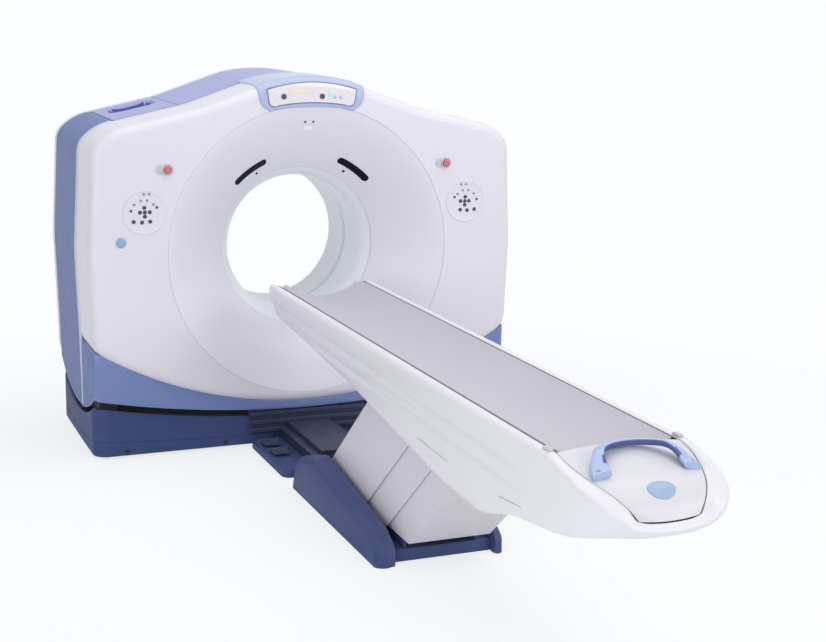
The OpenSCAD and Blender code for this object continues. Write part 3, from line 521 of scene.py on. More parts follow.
def capsulePart(x0, x1, z0, half, y0, y1, edge=0.003, steps=14):
    # flat capsule in the x-z plane, from y0 in front to y1 behind, with a soft front edge
    turns = [math.pi / 2 - math.pi * k / steps for k in range(steps + 1)]
    loop = [(x1 + half * math.cos(t), z0 + half * math.sin(t)) for t in turns]
    loop = np.array(loop + [(x0 - half * math.cos(t), z0 - half * math.sin(t)) for t in turns])
    spine = np.stack([np.clip(loop[:, 0], x0, x1), np.full(len(loop), z0)], axis=1)
    insets = ((0.0, y1), (0.0, y0 + edge), (edge * 0.3, y0 + edge * 0.3), (edge, y0))
    rings = [planeRing(spine + (loop - spine) * (1 - inset / half), y) for inset, y in insets]
    return loft(rings, closed=True, caps=True)


# gantry covers, metres, corners as (x, z, radius) from the crest down the right side
gantry = {
    "isoZ": 1.0, "front": -0.5, "rear": 0.54, "split": -0.17, "rearSplit": 0.46, "edge": 0.046,
    "rearEdge": 0.034, "funnelR": 0.723, "rimR": 0.397, "boreR": 0.35, "rearFunnelR": 0.6, "depth": 0.211,
    "dish": 1.35, "throat": 0.087, "flare": 1.7, "linerEnd": 0.02,
    "shoulder": [(0, 1.874, 0.9), (0.1991, 1.834, 0.26), (0.5574, 1.708, 0.5), (0.976, 1.614, 0.24),
                 (1.078, 1.536, 0.11), (1.106, 1.0, 0.9)],
    "lowerX": 1.092, "rearX": 1.089, "lowZ": 0.18, "frontArc": (0.228, 2.0), "trimArc": (0.19, 5.1),
    "rearArc": (0.234, 5.1), "frontCorner": 0.11, "rearCorner": 0.05, "sideCorner": 0.5, "sideTaper": 0.006,
    "loopStep": 0.02, "lineStep": 0.006, "topSeam": 0.9, "groove": 0.03, "grooveDeep": 0.011,
    "blueRound": 0.018, "sideSweep": 0.815, "sideLow": 0.1925, "wall": 0.008, "gap": 0.0006,
    "standSlot": (0.9, 1.02), "frontSlot": {"top": 0.56, "from": -0.35}, "rearSlot": {"top": 0.4, "to": 0.47},
}
g = gantry
gantryMiddle = (0.0, 0.0, g["isoZ"])


def arcHeight(x, arc):
    return arc[0] + arc[1] - math.sqrt(arc[1] ** 2 - x * x)


def mirroredLoop(points):
    return points + [(-x, z, r) for x, z, r in reversed(points) if x > 1e-6]


def coverLoop(x, arc, corner, count=14):
    low = [(x * i / count, arcHeight(x * i / count, arc), 0) for i in range(count - 1, -1, -1)]
    points = g["shoulder"] + [(x, arcHeight(x, arc), corner)] + low
    return resampled(roundedLoop(mirroredLoop(points)), g["loopStep"], closed=True)


frontLoop = coverLoop(g["lowerX"], g["frontArc"], g["frontCorner"])
rearLoop = coverLoop(g["rearX"], g["rearArc"], g["rearCorner"])
lowerZ = arcHeight(g["lowerX"], g["frontArc"])
bodyLoop = roundedLoop(mirroredLoop(g["shoulder"] + [(g["lowerX"], lowerZ, g["sideCorner"]),
                                                     (g["lowerX"] - g["sideTaper"], g["lowZ"], 0)]))
bodyLoop = np.roll(bodyLoop, -int(np.argmax(bodyLoop[:, 1])), axis=0)
rightLine = resampled(bodyLoop[:int(np.argmax(bodyLoop[:, 1] < g["lowZ"] + 0.001)) + 1], g["lineStep"])
rightLine[:, 0] = np.maximum(rightLine[:, 0], 0.0)
rightRun = runAlong(rightLine)


def onOutline(run, inset=0.0, reach=0.012):
    # point of the right half of the outline, with its inset along the inward normal
    a, p, b = (np.array([np.interp(run + d, rightRun, rightLine[:, k]) for k in (0, 1)])
               for d in (-reach, 0, reach))
    t = (b - a) / np.linalg.norm(b - a) if run >= reach else np.array([1.0, 0.0])
    return p + inset * np.array([t[1], -t[0]])


def runAtX(x, widest=1.08):
    top = int(np.argmax(rightLine[:, 0] > widest))
    return float(np.interp(x, rightLine[:top, 0], rightRun[:top]))


def runAtZ(z):
    return float(np.interp(z, rightLine[:, 1][::-1], rightRun[::-1]))


def circleRing(loop, radius, y):
    turn = np.arctan2(loop[:, 1] - g["isoZ"], loop[:, 0])
    return np.stack([radius * np.cos(turn), np.full(len(loop), y), g["isoZ"] + radius * np.sin(turn)], axis=1)


def faceRings(loop, hole, y, edge, way, wallTo):
    # from the round opening over the flat face, round the edge and back along the wall
    rings = [circleRing(loop, hole + grow, y + way * back)
             for grow, back in ((0.0006, 0.016), (0.0006, 0.0018), (0.0022, 0))]
    inner, outer = rings[-1], planeRing(insetLoop(loop, edge), y)
    rings += [inner + (outer - inner) * t for t in (0.05, 0.2, 0.4, 0.6, 0.8, 0.94)]
    rings += [planeRing(insetLoop(loop, edge * (1 - s)), y + way * edge * (1 - c)) for c, s in quarter(8)]
    bend = y + way * edge
    rings += [planeRing(loop, bend + (wallTo - bend) * t) for t in (0.25, 0.5, 0.75, 0.985)]
    return rings + [planeRing(insetLoop(loop, inset), wallTo) for inset in (0.002, 0.011)]


# both white covers have slots for the tilt stands
def overStand(c):
    return g["standSlot"][0] < abs(c[0]) < g["standSlot"][1]


def inFrontSlot(c):
    return overStand(c) and c[2] < g["frontSlot"]["top"] and c[1] > g["frontSlot"]["from"]


def inRearSlot(c):
    return overStand(c) and c[2] < g["rearSlot"]["top"] and c[1] < g["rearSlot"]["to"]


frontRings = faceRings(frontLoop, g["funnelR"], g["front"], g["edge"], 1, g["split"] - g["gap"])
rearRings = faceRings(rearLoop, g["rearFunnelR"], g["rear"], g["rearEdge"], -1, g["rearSplit"] + g["gap"])
frontPart = loft(frontRings, closed=True, drop=inFrontSlot)
rearPart = loft(rearRings, closed=True, drop=inRearSlot)
for name, part, node in (("frontCover", frontPart, "front_cover"), ("rearCover", rearPart, "rear_cover")):
    gantryPiece(name, [part], "white_cover", ["whiteCover"], [node], inside=gantryMiddle, wall=g["wall"])

# air slots low on the rear cover, each under a small hood; the slots are near-black strips, painted shadow
vents = {"x": (0.69, 0.95), "low": 0.43, "pitch": 0.022, "count": 8, "slot": 0.008, "hood": 0.0045,
         "proud": 0.005, "sunk": 0.002, "over": 0.003, "soft": (0.0012, 2, 40)}
ventShadowStrips, ventHoods = [], []
for sign in (-1, 1):
    x0, x1 = sorted(sign * x for x in vents["x"])
    for k in range(vents["count"]):
        z0 = vents["low"] + k * vents["pitch"]
        z1 = z0 + vents["slot"]
        back = g["rear"] - vents["sunk"]
        ventShadowStrips.append(boxPart((x0, back, z0), (x1, g["rear"] + g["gap"], z1)))
        ventHoods.append(boxPart((x0 - vents["over"], back, z1),
                                 (x1 + vents["over"], g["rear"] + vents["proud"], z1 + vents["hood"])))
gantryPiece("rearVents", ventShadowStrips + ventHoods, "white_cover", ["whiteCover", "gapBlack"],
            lookOf=lambda c, i: 1 if i < 6 * len(ventShadowStrips) else 0, soft=vents["soft"])
print("front and rear covers")


# blue covers between them, with a groove behind the white cover; on the side covers its floor is painted dark
# as shade, and a pale strip on the rounded edge behind it is a painted highlight
def blueRows(y0, y1):
    r, start = g["blueRound"], y0 + g["groove"]
    rows = [(y0 + g["gap"], g["grooveDeep"]), (start - 0.004, g["grooveDeep"])]
    rows += [(start + r * (1 - c), r * 0.55 * (1 - s)) for c, s in quarter(6)]
    rows += [(y, 0.0) for y in np.arange(start + r + 0.012, y1 - 0.014, 0.0125)]
    return rows + [(y1 - 0.008, 0.0), (y1 - 0.003, 0.0012), (y1 - g["gap"], 0.005)]


def sweepLow(y):
    # lower edge of the side walls, an arc about the tilt axis
    return max(g["sideLow"], g["isoZ"] - math.sqrt(g["sideSweep"] ** 2 - y * y))


def edgeLip(deep, distance, reach):
    return deep * max(0.0, 1 - distance / reach)


blueStart, blueEnd = g["split"] + g["gap"], g["rearSplit"] - g["gap"]
grooveEnd = blueStart + g["groove"] - 0.003
# end of the pale strip on the rounded edge, a painted highlight
highlightEnd = blueStart + g["groove"] + 0.014
rows = blueRows(blueStart, blueEnd)
for sign, side in ((-1, "left"), (1, "right")):
    s0 = runAtX(g["topSeam"]) + g["gap"]
    rings = []
    for y, inset in rows:
        length = runAtZ(sweepLow(y)) - s0
        ring = []
        for u in (k / 100 for k in range(101)):
            lip = edgeLip(0.005, length * u, 0.004) + edgeLip(0.006, length * (1 - u), 0.012)
            p = onOutline(s0 + length * u, inset + lip)
            ring.append((sign * p[0], y, p[1]))
        rings.append(ring)
    # the groove floor is painted dark as shade, the strip behind it pale as a highlight
    gantryPiece("sideCover_" + side, [loft(rings)], "blue_cover", ["sideBlue", "seamShade", "edgeBlue"],
                ["side_cover_" + side], inside=gantryMiddle, wall=g["wall"],
                lookOf=lambda c, i: 1 if c[1] < grooveEnd else 2 if c[1] < highlightEnd else 0)

# top cover with two grip wells and a fine seam on each slope; the wells are painted a darker blue as shade
grip = {"x": 0.73, "y": 0.235, "halfX": 0.122, "halfY": 0.1, "deep": 0.028, "seamX": 0.576, "seamDeep": 0.006,
        "step": 0.0095}


def gripShare(x, y):
    return ((abs(x) - grip["x"]) / grip["halfX"]) ** 4 + ((y - grip["y"]) / grip["halfY"]) ** 4


sTop = runAtX(g["topSeam"]) - g["gap"]
sSeam = runAtX(grip["seamX"])
runs = np.arange(0, sTop - 0.004, grip["step"])
runs = np.unique(np.concatenate([runs[np.abs(runs - sSeam) > 0.006], [sTop - 0.003, sTop - 0.001, sTop],
                                 sSeam + np.array([-0.005, -0.0025, 0, 0.0025, 0.005])]))
rings = []
for y, inset in rows:
    half = []
    for s in runs:
        line = grip["seamDeep"] * smoothstep((0.0045 - abs(s - sSeam)) / 0.003)
        well = grip["deep"] * smoothstep((1 - gripShare(onOutline(s)[0], y)) / 0.6)
        p = onOutline(s, inset + line + well + edgeLip(0.005, sTop - s, 0.004))
        half.append((p[0], y, p[1]))
    rings.append([(-p[0], p[1], p[2]) for p in reversed(half[1:])] + half)
gantryPiece("topCover", [loft(rings)], "top_blue", ["topBlue", "seamBlue", "gripBlue"], ["top_cover"],
            inside=gantryMiddle, wall=g["wall"],
            lookOf=lambda c, i: 1 if c[1] < grooveEnd else 2 if gripShare(c[0], c[1]) < 0.8 else 0)
print("blue covers")

# lower trim: one strip round the front and both sides, as (place, inward normal)
trim = {"back": 0.02, "corner": 0.03, "step": 0.02, "over": 0.0066, "under": 0.0008, "inside": (0, 0.2, 1.4)}


def trimPath():
    r, x1, y0 = trim["corner"], g["rearX"], g["front"] + trim["back"]
    path = [((x1, y), (-1, 0)) for y in np.arange(g["split"] - g["gap"], y0 + r, -trim["step"])]
    path += [((x1 - r + r * c, y0 + r - r * s), (-c, s)) for c, s in quarter(8)]
    path += [((x, y0), (0, 1)) for x in np.arange(x1 - r - trim["step"], 0.005, -trim["step"])]
    path.append(((0.0, y0), (0, 1)))
    return path + [((-p[0], p[1]), (-n[0], n[1])) for p, n in reversed(path[:-1])]


cornerLow = arcHeight(g["rearX"], g["trimArc"])
rings = []
for (x, y), (nx, ny) in trimPath():
    top = arcHeight(abs(x), g["frontArc"]) - trim["under"] + trim["over"] * ny ** 4
    low = arcHeight(abs(x), g["trimArc"]) * ny ** 2 + min(sweepLow(y), cornerLow) * nx ** 2
    steps = [(low, 0.014), (low + 0.002, 0.006), (low + 0.006, 0.002), (low + 0.014, 0.0)]
    steps += [(low + 0.014 + (top - low - 0.02) * t, 0.0) for t in (0.25, 0.5, 0.75, 1.0)]
    steps += [(top - 0.002, 0.0015), (top, 0.006), (top, 0.05)]
    rings.append([(x + nx * d, y + ny * d, z) for z, d in steps])
gantryPiece("lowerTrim", [loft(rings)], "trim_blue", ["trimBlue", "sideBlue"], ["lower_trim"],
            inside=trim["inside"], wall=g["wall"],
            lookOf=lambda c, i: 1 if abs(c[0]) > g["rearX"] - 0.002 else 0)


# dished funnels and the bore lining, turned about the bore axis as (radius, depth from the face)
def turnedPiece(name, profile, *args, steps=144):
    gantryPiece(name, [revolvePart(profile + profile[:1], gantryMiddle, (0, 1, 0), steps)], *args)


def funnelProfile(outer, y, way, count=26):
    rim, deep = g["rimR"], g["depth"]
    dish = [(outer - (outer - rim) * k / count, deep * (k / count) ** g["dish"]) for k in range(1, count)]
    line = [(outer - 0.0012, 0.014), (outer - 0.0012, 0.003), (outer - 0.003, 0.0008)]
    line += [(r, d + 0.0006) for r, d in dish]
    line += [(rim + 0.004, deep - 0.0035), (rim + 0.0012, deep - 0.0006), (rim, deep + 0.0025)]
    line += [(rim + 0.001, deep + 0.0075)] + [(r, d + 0.0078) for r, d in reversed(dish)]
    return [(r, y + way * d) for r, d in line]


def linerProfile(y, way, count=12):
    rim, bore, throat = g["rimR"] - 0.0008, g["boreR"], g["throat"]
    y0, end = y + way * (g["depth"] + 0.0085), -way * g["linerEnd"]
    shares = [k / count for k in range(1, count + 1)]
    flare = [(bore + (rim - bore) * (1 - t) ** g["flare"], y0 + way * (0.002 + (throat - 0.002) * t))
             for t in shares]
    line = [(rim + 0.003, y0), (rim, y0 + way * 0.002)] + flare + [(bore, y0 + way * (throat + 0.03))]
    line += [(bore, end - way * 0.002), (bore + 0.0015, end - way * 0.0004)]
    line += [(bore + 0.0075, end - way * 0.0004), (bore + 0.0078, y0 + way * throat)]
    return line + [(r + 0.0078, along) for r, along in reversed(flare[:-1])]


gasket = [(-0.001, 0.0022), (-0.0002, 0.0018), (0.0005, 0.0022), (0.0005, 0.006), (-0.001, 0.006)]
windowLine = [(0.35, -0.0192), (0.3505, -0.0196), (0.3575, -0.0196), (0.358, -0.019), (0.358, 0.019),
              (0.3575, 0.0196), (0.3505, 0.0196), (0.35, 0.0192), (0.3494, 0.008), (0.3494, -0.008)]
funnelEnds = {"front": (g["funnelR"], g["front"], 1), "rear": (g["rearFunnelR"], g["rear"], -1)}
turnedPiece("funnelRing", funnelProfile(*funnelEnds["front"]), "funnel_grey", ["funnelGrey"], ["funnel_ring"])
for name, (outer, y, way) in funnelEnds.items():
    line = [(outer + r, y + way * d) for r, d in gasket]
    turnedPiece("funnelGasket_" + name, line, "funnel_grey", ["funnelGrey"])
turnedPiece("rearFunnel", funnelProfile(*funnelEnds["rear"]), "funnel_grey", ["funnelGrey"], ["rear_funnel"])
for name, (outer, y, way) in funnelEnds.items():
    turnedPiece("boreLiner" + name.title(), linerProfile(y, way), "liner_white", ["linerWhite"],
                ["bore_liner_" + name])
turnedPiece("scanWindow", windowLine, "window_film", ["windowFilm"], ["scan_window"])
print("funnels and bore")

# laser windows and small marks, rounded slots that lie on the dish
# r from the bore axis, half width, length, height over the dish, degrees from the top, steps
laser = {"r": 0.476, "half": 0.016, "long": 0.194, "proud": 0.0016, "turns": (-35.0, 35.0), "cols": 40}
laserLens = {"r": 0.438, "half": 0.006, "long": 0.013, "proud": 0.0022, "turns": (-31.5, 31.5), "cols": 12}
sensorEye = {"r": 0.638, "half": 0.0055, "long": 0.0115, "proud": 0.002, "turns": (-1.7189, 2.0626),
             "cols": 12}
sensorPlate = {"r": 0.606, "half": 0.009, "long": 0.05, "proud": 0.0018, "turns": (0.2292,), "cols": 16}


def onDish(r, turn, proud):
    depth = g["depth"] * (1 - (r - g["rimR"]) / (g["funnelR"] - g["rimR"])) ** g["dish"]
    return (r * math.cos(turn), g["front"] + depth - proud, g["isoZ"] + r * math.sin(turn))


def slotPart(cfg, degrees):
    half, high = cfg["half"], cfg["proud"]
    section = ((-1, 0.0), (-1, high * 0.6), (-0.82, high), (0.82, high), (1, high * 0.6), (1, 0.0))
    rings = []
    for k in range(cfg["cols"] + 1):
        along = cfg["long"] / 2 * math.sin((-1 + 2 * k / cfg["cols"]) * math.pi / 2)
        over = max(0.0, abs(along) - (cfg["long"] / 2 - half)) / half
        w = max(half * math.sqrt(max(0.0, 1 - over * over)), 0.0004)
        turn = math.radians(90 + degrees) + along / cfg["r"]
        rings.append([onDish(cfg["r"] + w * s, turn, p) for s, p in section])
    return loft(rings, closed=True, caps=True)


def slotPiece(name, cfg, *args):
    gantryPiece(name, [slotPart(cfg, degrees) for degrees in cfg["turns"]], *args)


slotPiece("laserWindows", laser, "laser_black", ["laserBlack"], ["laser_windows"])
slotPiece("laserLenses", laserLens, "laser_black", ["laserBlack"])
slotPiece("sensorEyes", sensorEye, "laser_black", ["keyGrey"])
slotPiece("sensorPlate", sensorPlate, "funnel_grey", ["linerWhite"])
print("laser windows")

# display hood that runs from the front face over the crest to the blue cover
hood = {"low": 1.698, "lowRise": 0.02, "end": 0.468, "proud": 0.007, "corner": 0.022, "skirt": 0.0075,
        "runs": (0, 0.05, 0.13, 0.2, 0.46), "halves": (0.236, 0.262, 0.274, 0.26, 0.26)}
screen = {"low": 0.02, "high": 0.094, "half": 0.224, "taper": 0.014, "rise": (0.02, 0.034), "frame": 0.006,
          "corner": 0.02, "proud": 0.0032, "frameProud": 0.0012}


def crestZ(x, count=140):
    return float(np.interp(abs(x), rightLine[:count, 0], rightLine[:count, 1]))


def onHood(x, run, proud):
    # run is measured up the face from the hood's foot, then over the rounded edge and back
    r = g["edge"]
    flatTop = crestZ(x) - r
    flat = flatTop - hood["low"]
    bend = r * math.pi / 2
    if run <= flat:
        return (x, g["front"] - proud, hood["low"] + run)
    if run <= flat + bend:
        a = (run - flat) / r
        return (x, g["front"] + r - (r + proud) * math.cos(a), flatTop + (r + proud) * math.sin(a))
    return (x, g["front"] + r + (run - flat - bend), flatTop + r + proud)


def roundEnd(run, low, high, r):
    # how far a rounded corner draws the side in near either end
    d = max(0.0, min(run - low, high - run))
    return r - math.sqrt(max(0.0, r * r - (r - min(r, d)) ** 2))


def hoodHalf(run):
    return float(np.interp(run, hood["runs"], hood["halves"])) - roundEnd(run, 0.0, 9.0, hood["corner"])


def screenHalf(grow):
    low, high = screen["low"] - grow, screen["high"] + grow + screen["rise"][1]

    def half(run):
        taper = screen["taper"] * (1 - min(1.0, max(0.0, run / screen["high"])))
        return screen["half"] + grow - taper - roundEnd(run, low, high, screen["corner"] + grow)

    return half


def hoodPatch(low, high, half, proud, rise, edge=0.005, skirt=0.007, cols=41, rowCount=26):
    # patch on the hood between two runs, with rolled borders
    roll = np.array([skirt, edge * 0.6, edge * 0.15])
    out = np.array([edge, edge * 0.9, edge * 0.5])
    us = np.concatenate([[-1] * 3, np.linspace(-1, 1, cols), [1] * 3])
    vs = np.concatenate([[0] * 3, np.linspace(0, 1, rowCount), [1] * 3])
    uDrop, vDrop = (np.concatenate([roll, np.zeros(n), roll[::-1]]) for n in (cols, rowCount))
    uOut = np.concatenate([out, np.zeros(cols), out[::-1]])
    vOut = np.concatenate([-out, np.zeros(rowCount), out[::-1]])
    rings = []
    for v, dv, ov in zip(vs, vDrop, vOut):
        ring = []
        for u, du, ou in zip(us, uDrop, uOut):
            r0, r1 = (end + up * (1 - u * u) for end, up in zip((low, high), rise))
            run = r0 + (r1 - r0) * v + ov
            ring.append(onHood((half(run) + ou) * u, run, proud - max(dv, du)))
        rings.append(ring)
    return [loft(rings)]


grow = screen["frame"]
panelTop = hood["proud"] + screen["proud"]
gantryPiece("displayHood", hoodPatch(0.0, hood["end"], hoodHalf, hood["proud"], (hood["lowRise"], 0),
                                     skirt=hood["skirt"]), "bezel_blue", ["bezelBlue"], ["display_bezel"])
framePatch = hoodPatch(screen["low"] - grow, screen["high"] + grow, screenHalf(grow),
                       hood["proud"] + screen["frameProud"], screen["rise"], 0.0015, 0.0015)
gantryPiece("displayFrame", framePatch, "laser_black", ["frameBlue"])
panelPatch = hoodPatch(screen["low"], screen["high"], screenHalf(0.0), panelTop, screen["rise"],
                       0.002, 0.0022)
gantryPiece("displayPanel", panelPatch, "screen", ["screenWhite"], ["display_panel"])


def hoodDisc(x, run, radius, lift, steps):
    # low round key or lamp on the display
    turns = [2 * math.pi * k / steps for k in range(steps)]
    rings = []
    for share, up in ((1.0, 0.0), (1.0, 0.6), (0.85, 1.0), (0.0001, 1.0)):
        r, proud = radius * share, panelTop + lift * up
        rings.append([onHood(x + r * math.cos(t), run + r * math.sin(t), proud) for t in turns])
    return loft(rings, closed=True)


def hoodPlate(x0, x1, r0, r1, lift=0.0008, cols=8):
    # thin flat mark on the display
    xs = [x0 + (x1 - x0) * k / cols for k in range(cols + 1)]
    return loft([[onHood(x, r0 + (r1 - r0) * u, panelTop + lift * up) for x in xs]
                 for u, up in ((0, 0.0), (0.04, 1.0), (0.96, 1.0), (1, 0.0))])


# keys and lamps as (across, up) places, with radius, height and steps
displayDots = {
    "displayKeys": ("keyGrey", (0.014, 0.0016, 20), [(-0.146, 0.066), (0.05, 0.066)]),
    "displayLamps": ("panelGrey", (0.0075, 0.001, 14), [(-0.1, 0.055), (-0.075, 0.055), (-0.05, 0.055),
                                                       (0.09, 0.055), (0.165, 0.05), (-0.185, 0.055)]),
    "displayLampsBlue": ("handleBlue", (0.009, 0.001, 14), [(0.115, 0.062), (0.145, 0.06)]),
}
displayMarks = [(-0.115, -0.02, 0.082, 0.098), (0.082, 0.118, 0.052, 0.1), (0.132, 0.15, 0.076, 0.09),
                (0.162, 0.178, 0.06, 0.072)]
for name, (look, size, places) in displayDots.items():
    gantryPiece(name, [hoodDisc(x, run, *size) for x, run in places], "screen", [look])
gantryPiece("displayMarks", [hoodPlate(*mark) for mark in displayMarks], "screen",
            ["markSand", "markGreen", "panelGrey"],
            lookOf=lambda c, i: 0 if c[0] < 0 else 1 if c[0] < 0.12 else 2)
print("display")

# control panels: a scooped disc with small dark keys, rim as (from the edge, height)
panel = {
    "x": 0.834, "z": 1.224, "r": 0.107, "flat": 0.6, "keyR": 0.0078, "keyUp": 0.0024, "paleFrom": 0.03,
    "rim": [(0, 0.0), (0.0006, 0.0026), (0.003, 0.0038), (0.006, 0.0034), (0.0085, 0.0014), (0.012, 0.0008)],
    "keys": [(0.0, 0.022), (-0.021, 0.0), (0.002, 0.0), (0.026, 0.0), (0.002, -0.02), (-0.052, -0.044),
             (-0.012, -0.048), (0.027, -0.045), (-0.064, 0.008), (-0.048, 0.038), (-0.016, 0.056),
             (0.014, 0.056), (0.044, 0.037), (0.06, 0.022), (-0.002, 0.086), (0.024, 0.086)],
}
plug = {"place": (-0.948, g["front"], 1.082),
        "line": [(0.026, 0.0), (0.0258, 0.0016), (0.0235, 0.0028), (0.012, 0.0034), (0.0003, 0.0035)]}


def discPart(centre, profile, steps):
    return revolvePart(profile, centre, (0, -1, 0), steps)


def keyPart(x, z, kx, kz):
    large = abs(kx) < 0.03 and -0.03 < kz < 0.03 or kz < -0.04
    size, up = panel["keyR"] * (1.25 if large else 0.85), panel["keyUp"]
    line = [(size, 0.0), (size, 0.0014), (size * 0.86, up), (size * 0.4, up + 0.0003), (0.0003, up + 0.0003)]
    return discPart((x, g["front"] - g["gap"], z + kz), line, 16)


for sign, side in ((-1, "left"), (1, "right")):
    x, r = sign * panel["x"], panel["r"]
    line = [(r - inset, up) for inset, up in panel["rim"]] + [(r * panel["flat"], 0.0007), (0.0004, 0.0006)]
    disc = discPart((x, g["front"], panel["z"]), line, 72)
    gantryPiece("controlPanel_" + side, [disc], "panel", ["panelGrey"], ["control_panel_" + side])
    keys = [keyPart(x - sign * kx, panel["z"], kx, kz) for kx, kz in panel["keys"]]
    gantryPiece("controlKeys_" + side, keys, "panel", ["keyGrey", "keyPale"],
                lookOf=lambda c, i: 1 if c[2] > panel["z"] + panel["paleFrom"] else 0)
    # round cover plate below the panel on the left, left bare
    if side == "left":
        gantryPiece("coverPlug", [discPart(plug["place"], plug["line"], 32)], "panel", ["badgeBlue"])

# stop buttons: grey capsule holder, red mushroom that slides in it
stop = {
    "x": 0.72, "z": 1.424, "tail": 0.034, "half": 0.023, "thick": 0.004, "buttonY": -0.506,
    "ring": [(0.027, 0.0), (0.0268, 0.0078), (0.0256, 0.0096), (0.024, 0.01), (0.021, 0.01), (0.0192, 0.0088),
             (0.019, 0.0)],
    "button": [(0.0003, 0.0036), (0.017, 0.0036), (0.0177, 0.0044), (0.0178, 0.0092), (0.018, 0.0102),
               (0.018, 0.0128), (0.0172, 0.0146), (0.014, 0.0157), (0.0075, 0.016), (0.0003, 0.016)],
}
holders = []
for x in (-stop["x"], stop["x"]):
    front = g["front"] - stop["thick"]
    holders.append(capsulePart(x - stop["tail"], x, stop["z"], stop["half"], front, g["front"]))
    holders.append(discPart((x, g["front"], stop["z"]), stop["ring"], 40))
gantryPiece("stopHolders", holders, "collar_grey", ["collarGrey"], ["stop_collars"])
for sign, side in ((-1, "left"), (1, "right")):
    button = discPart((sign * stop["x"], stop["buttonY"], stop["z"]), stop["button"], 40)
    addPiece("stopButton_" + side, [button], "stop_" + side, "stop_red", ["stopRed"], ["stop_button_" + side])
print("controls")

# gantry base: rounded plan and a hollowed top that the covers swing in, side walls closer to the covers; the
# hollow top is painted near-black as shadow
base = {
    "halfW": 1.086, "halfD": 0.438, "low": 0.012, "high": 0.285, "corner": 0.07, "lip": 0.009, "gap": 0.012,
    "sideFrom": 1.066, "sideWide": 0.014, "sideRise": 0.016, "step": 0.024, "seam": (0.305, 0.335, 0.0025),
    "foot": 0.004, "darkSide": 0.03, "darkFront": 0.012, "darkUnder": 0.006,
    "wallRows": (0.0, 0.03, 0.08, 0.15, 0.24, 0.3, 0.31, 0.33, 0.34, 0.45, 0.6, 0.8, 1.0),
    "topRows": (0.96, 0.9, 0.8, 0.68, 0.56, 0.42, 0.28, 0.14, 0.02),
    "holeShadeX": (-0.93, -0.43, 0.43, 0.93), "holeShadeZ": 0.034,
    "plug": [(0.013, 0.0), (0.013, 0.0022), (0.0095, 0.003), (0.008, 0.0012), (0.0003, 0.0008)],
}
b = base


def swingTop(x, y):
    reach = math.hypot(g["front"] + trim["back"], g["isoZ"] - arcHeight(x, g["trimArc"])) + b["gap"]
    reach -= b["sideRise"] * smoothstep((abs(x) - b["sideFrom"]) / b["sideWide"])
    return min(b["high"], g["isoZ"] - math.sqrt(max(0.0, reach ** 2 - y * y)))


def roundRect(x0, x1, y0, y1, r, step, steps):
    corners = [(x1, y1, r), (x1, y0, r), (x0, y0, r), (x0, y1, r)]
    return resampled(roundedLoop(corners, steps), step, closed=True)


def wallInset(t):
    first, last, deep = b["seam"]
    return deep if first < t < last else b["foot"] if t == 0 else 0.0


# top faces inside the hollow, short of its edges, take the near-black painted shadow
def inShadedHollow(c):
    top = swingTop(c[0], c[1]) - b["darkUnder"]
    return c[2] > top and abs(c[1]) < b["halfD"] - b["darkFront"] and abs(c[0]) < b["halfW"] - b["darkSide"]


plan = roundRect(-b["halfW"], b["halfW"], -b["halfD"], b["halfD"], b["corner"], b["step"], 12)
tops = np.array([swingTop(*p) for p in plan])
rings = []
for t in b["wallRows"]:
    heights = b["low"] + (tops - b["lip"] - b["low"]) * t
    rings.append([(p[0], p[1], z) for p, z in zip(insetLoop(plan, wallInset(t)), heights)])
for c, s in quarter(3)[1:]:
    ring = insetLoop(plan, b["lip"] * (1 - c))
    rings.append([(p[0], p[1], top - b["lip"] * (1 - s)) for p, top in zip(ring, tops)])
for k in b["topRows"]:
    rings.append([(p[0] * k, p[1] * k, swingTop(p[0] * k, p[1] * k)) for p in plan])
addPiece("gantryBase", [loft(rings, closed=True, caps=True)], "base", "navy_base", ["navyBase", "gapBlack"],
         ["gantry_base"], lookOf=lambda c, i: 1 if inShadedHollow(c) else 0)
# ribbed dark plate on the base's front over the dock
ribs = [boxPart((-0.31, -0.4475, 0.062), (0.31, -0.4385, 0.252))]
ribs += [boxPart((-0.305, -0.468, z), (0.305, -0.447, z + 0.022)) for z in (0.075, 0.118, 0.161, 0.204)]
addPiece("dockRibs", ribs, "base", "dark_beam", ["darkBeam"], soft=(0.004, 2, 50))
# dark discs in the small holes on the base's front, painted shade of the holes
holeShades = [discPart((x, -b["halfD"], b["holeShadeZ"]), b["plug"], 20) for x in b["holeShadeX"]]
addPiece("baseHoleShades", holeShades, "base", "dark_beam", ["rubberBlack"])
print("gantry base")

# dock between the two bases, with posts for the pedals and a stepped beam of (half width, low, high)
dock = {
    "half": 0.3, "y0": -0.9995, "y1": -0.4383, "high": 0.045, "corner": 0.04, "edge": 0.012, "step": 0.012,
    "beam": [(0.15, 0.0452, 0.066), (0.145, 0.066, 0.074), (0.15, 0.074, 0.095), (0.11, 0.095, 0.12)],
    "post": ((0.0, -0.008, 0.0445), (0.01, 0.008, 0.069)), "postX": (-0.29, -0.2),
}
pedal = {
    "y": {"up": -0.56, "down": -0.72}, "plate": ((-0.279, -0.08, 0.056), (-0.201, -0.002, 0.0635)),
    "rib": ((-0.275, -0.076, 0.0634), (-0.205, -0.07, 0.066)), "pitch": 0.0125, "ribs": 6,
    "pin": (-0.29, 0.0, 0.06), "soft": (0.001, 2, 50),
    "pinLine": [(0.0002, 0.0), (0.0045, 0.0), (0.005, 0.0006), (0.005, 0.0994), (0.0045, 0.1), (0.0002, 0.1)],
}


def platePart(loop, z0, z1, edge):
    rings = [[(p[0], p[1], z) for p in loop] for z in (z0, z1 - edge)]
    for c, s in quarter(3)[1:]:
        rings.append([(p[0], p[1], z1 - edge * (1 - s)) for p in insetLoop(loop, edge * (1 - c))])
    return loft(rings, closed=True, caps=True)


def shifted(corners, dx, dy):
    return [(x + dx, y + dy, z) for x, y, z in corners]


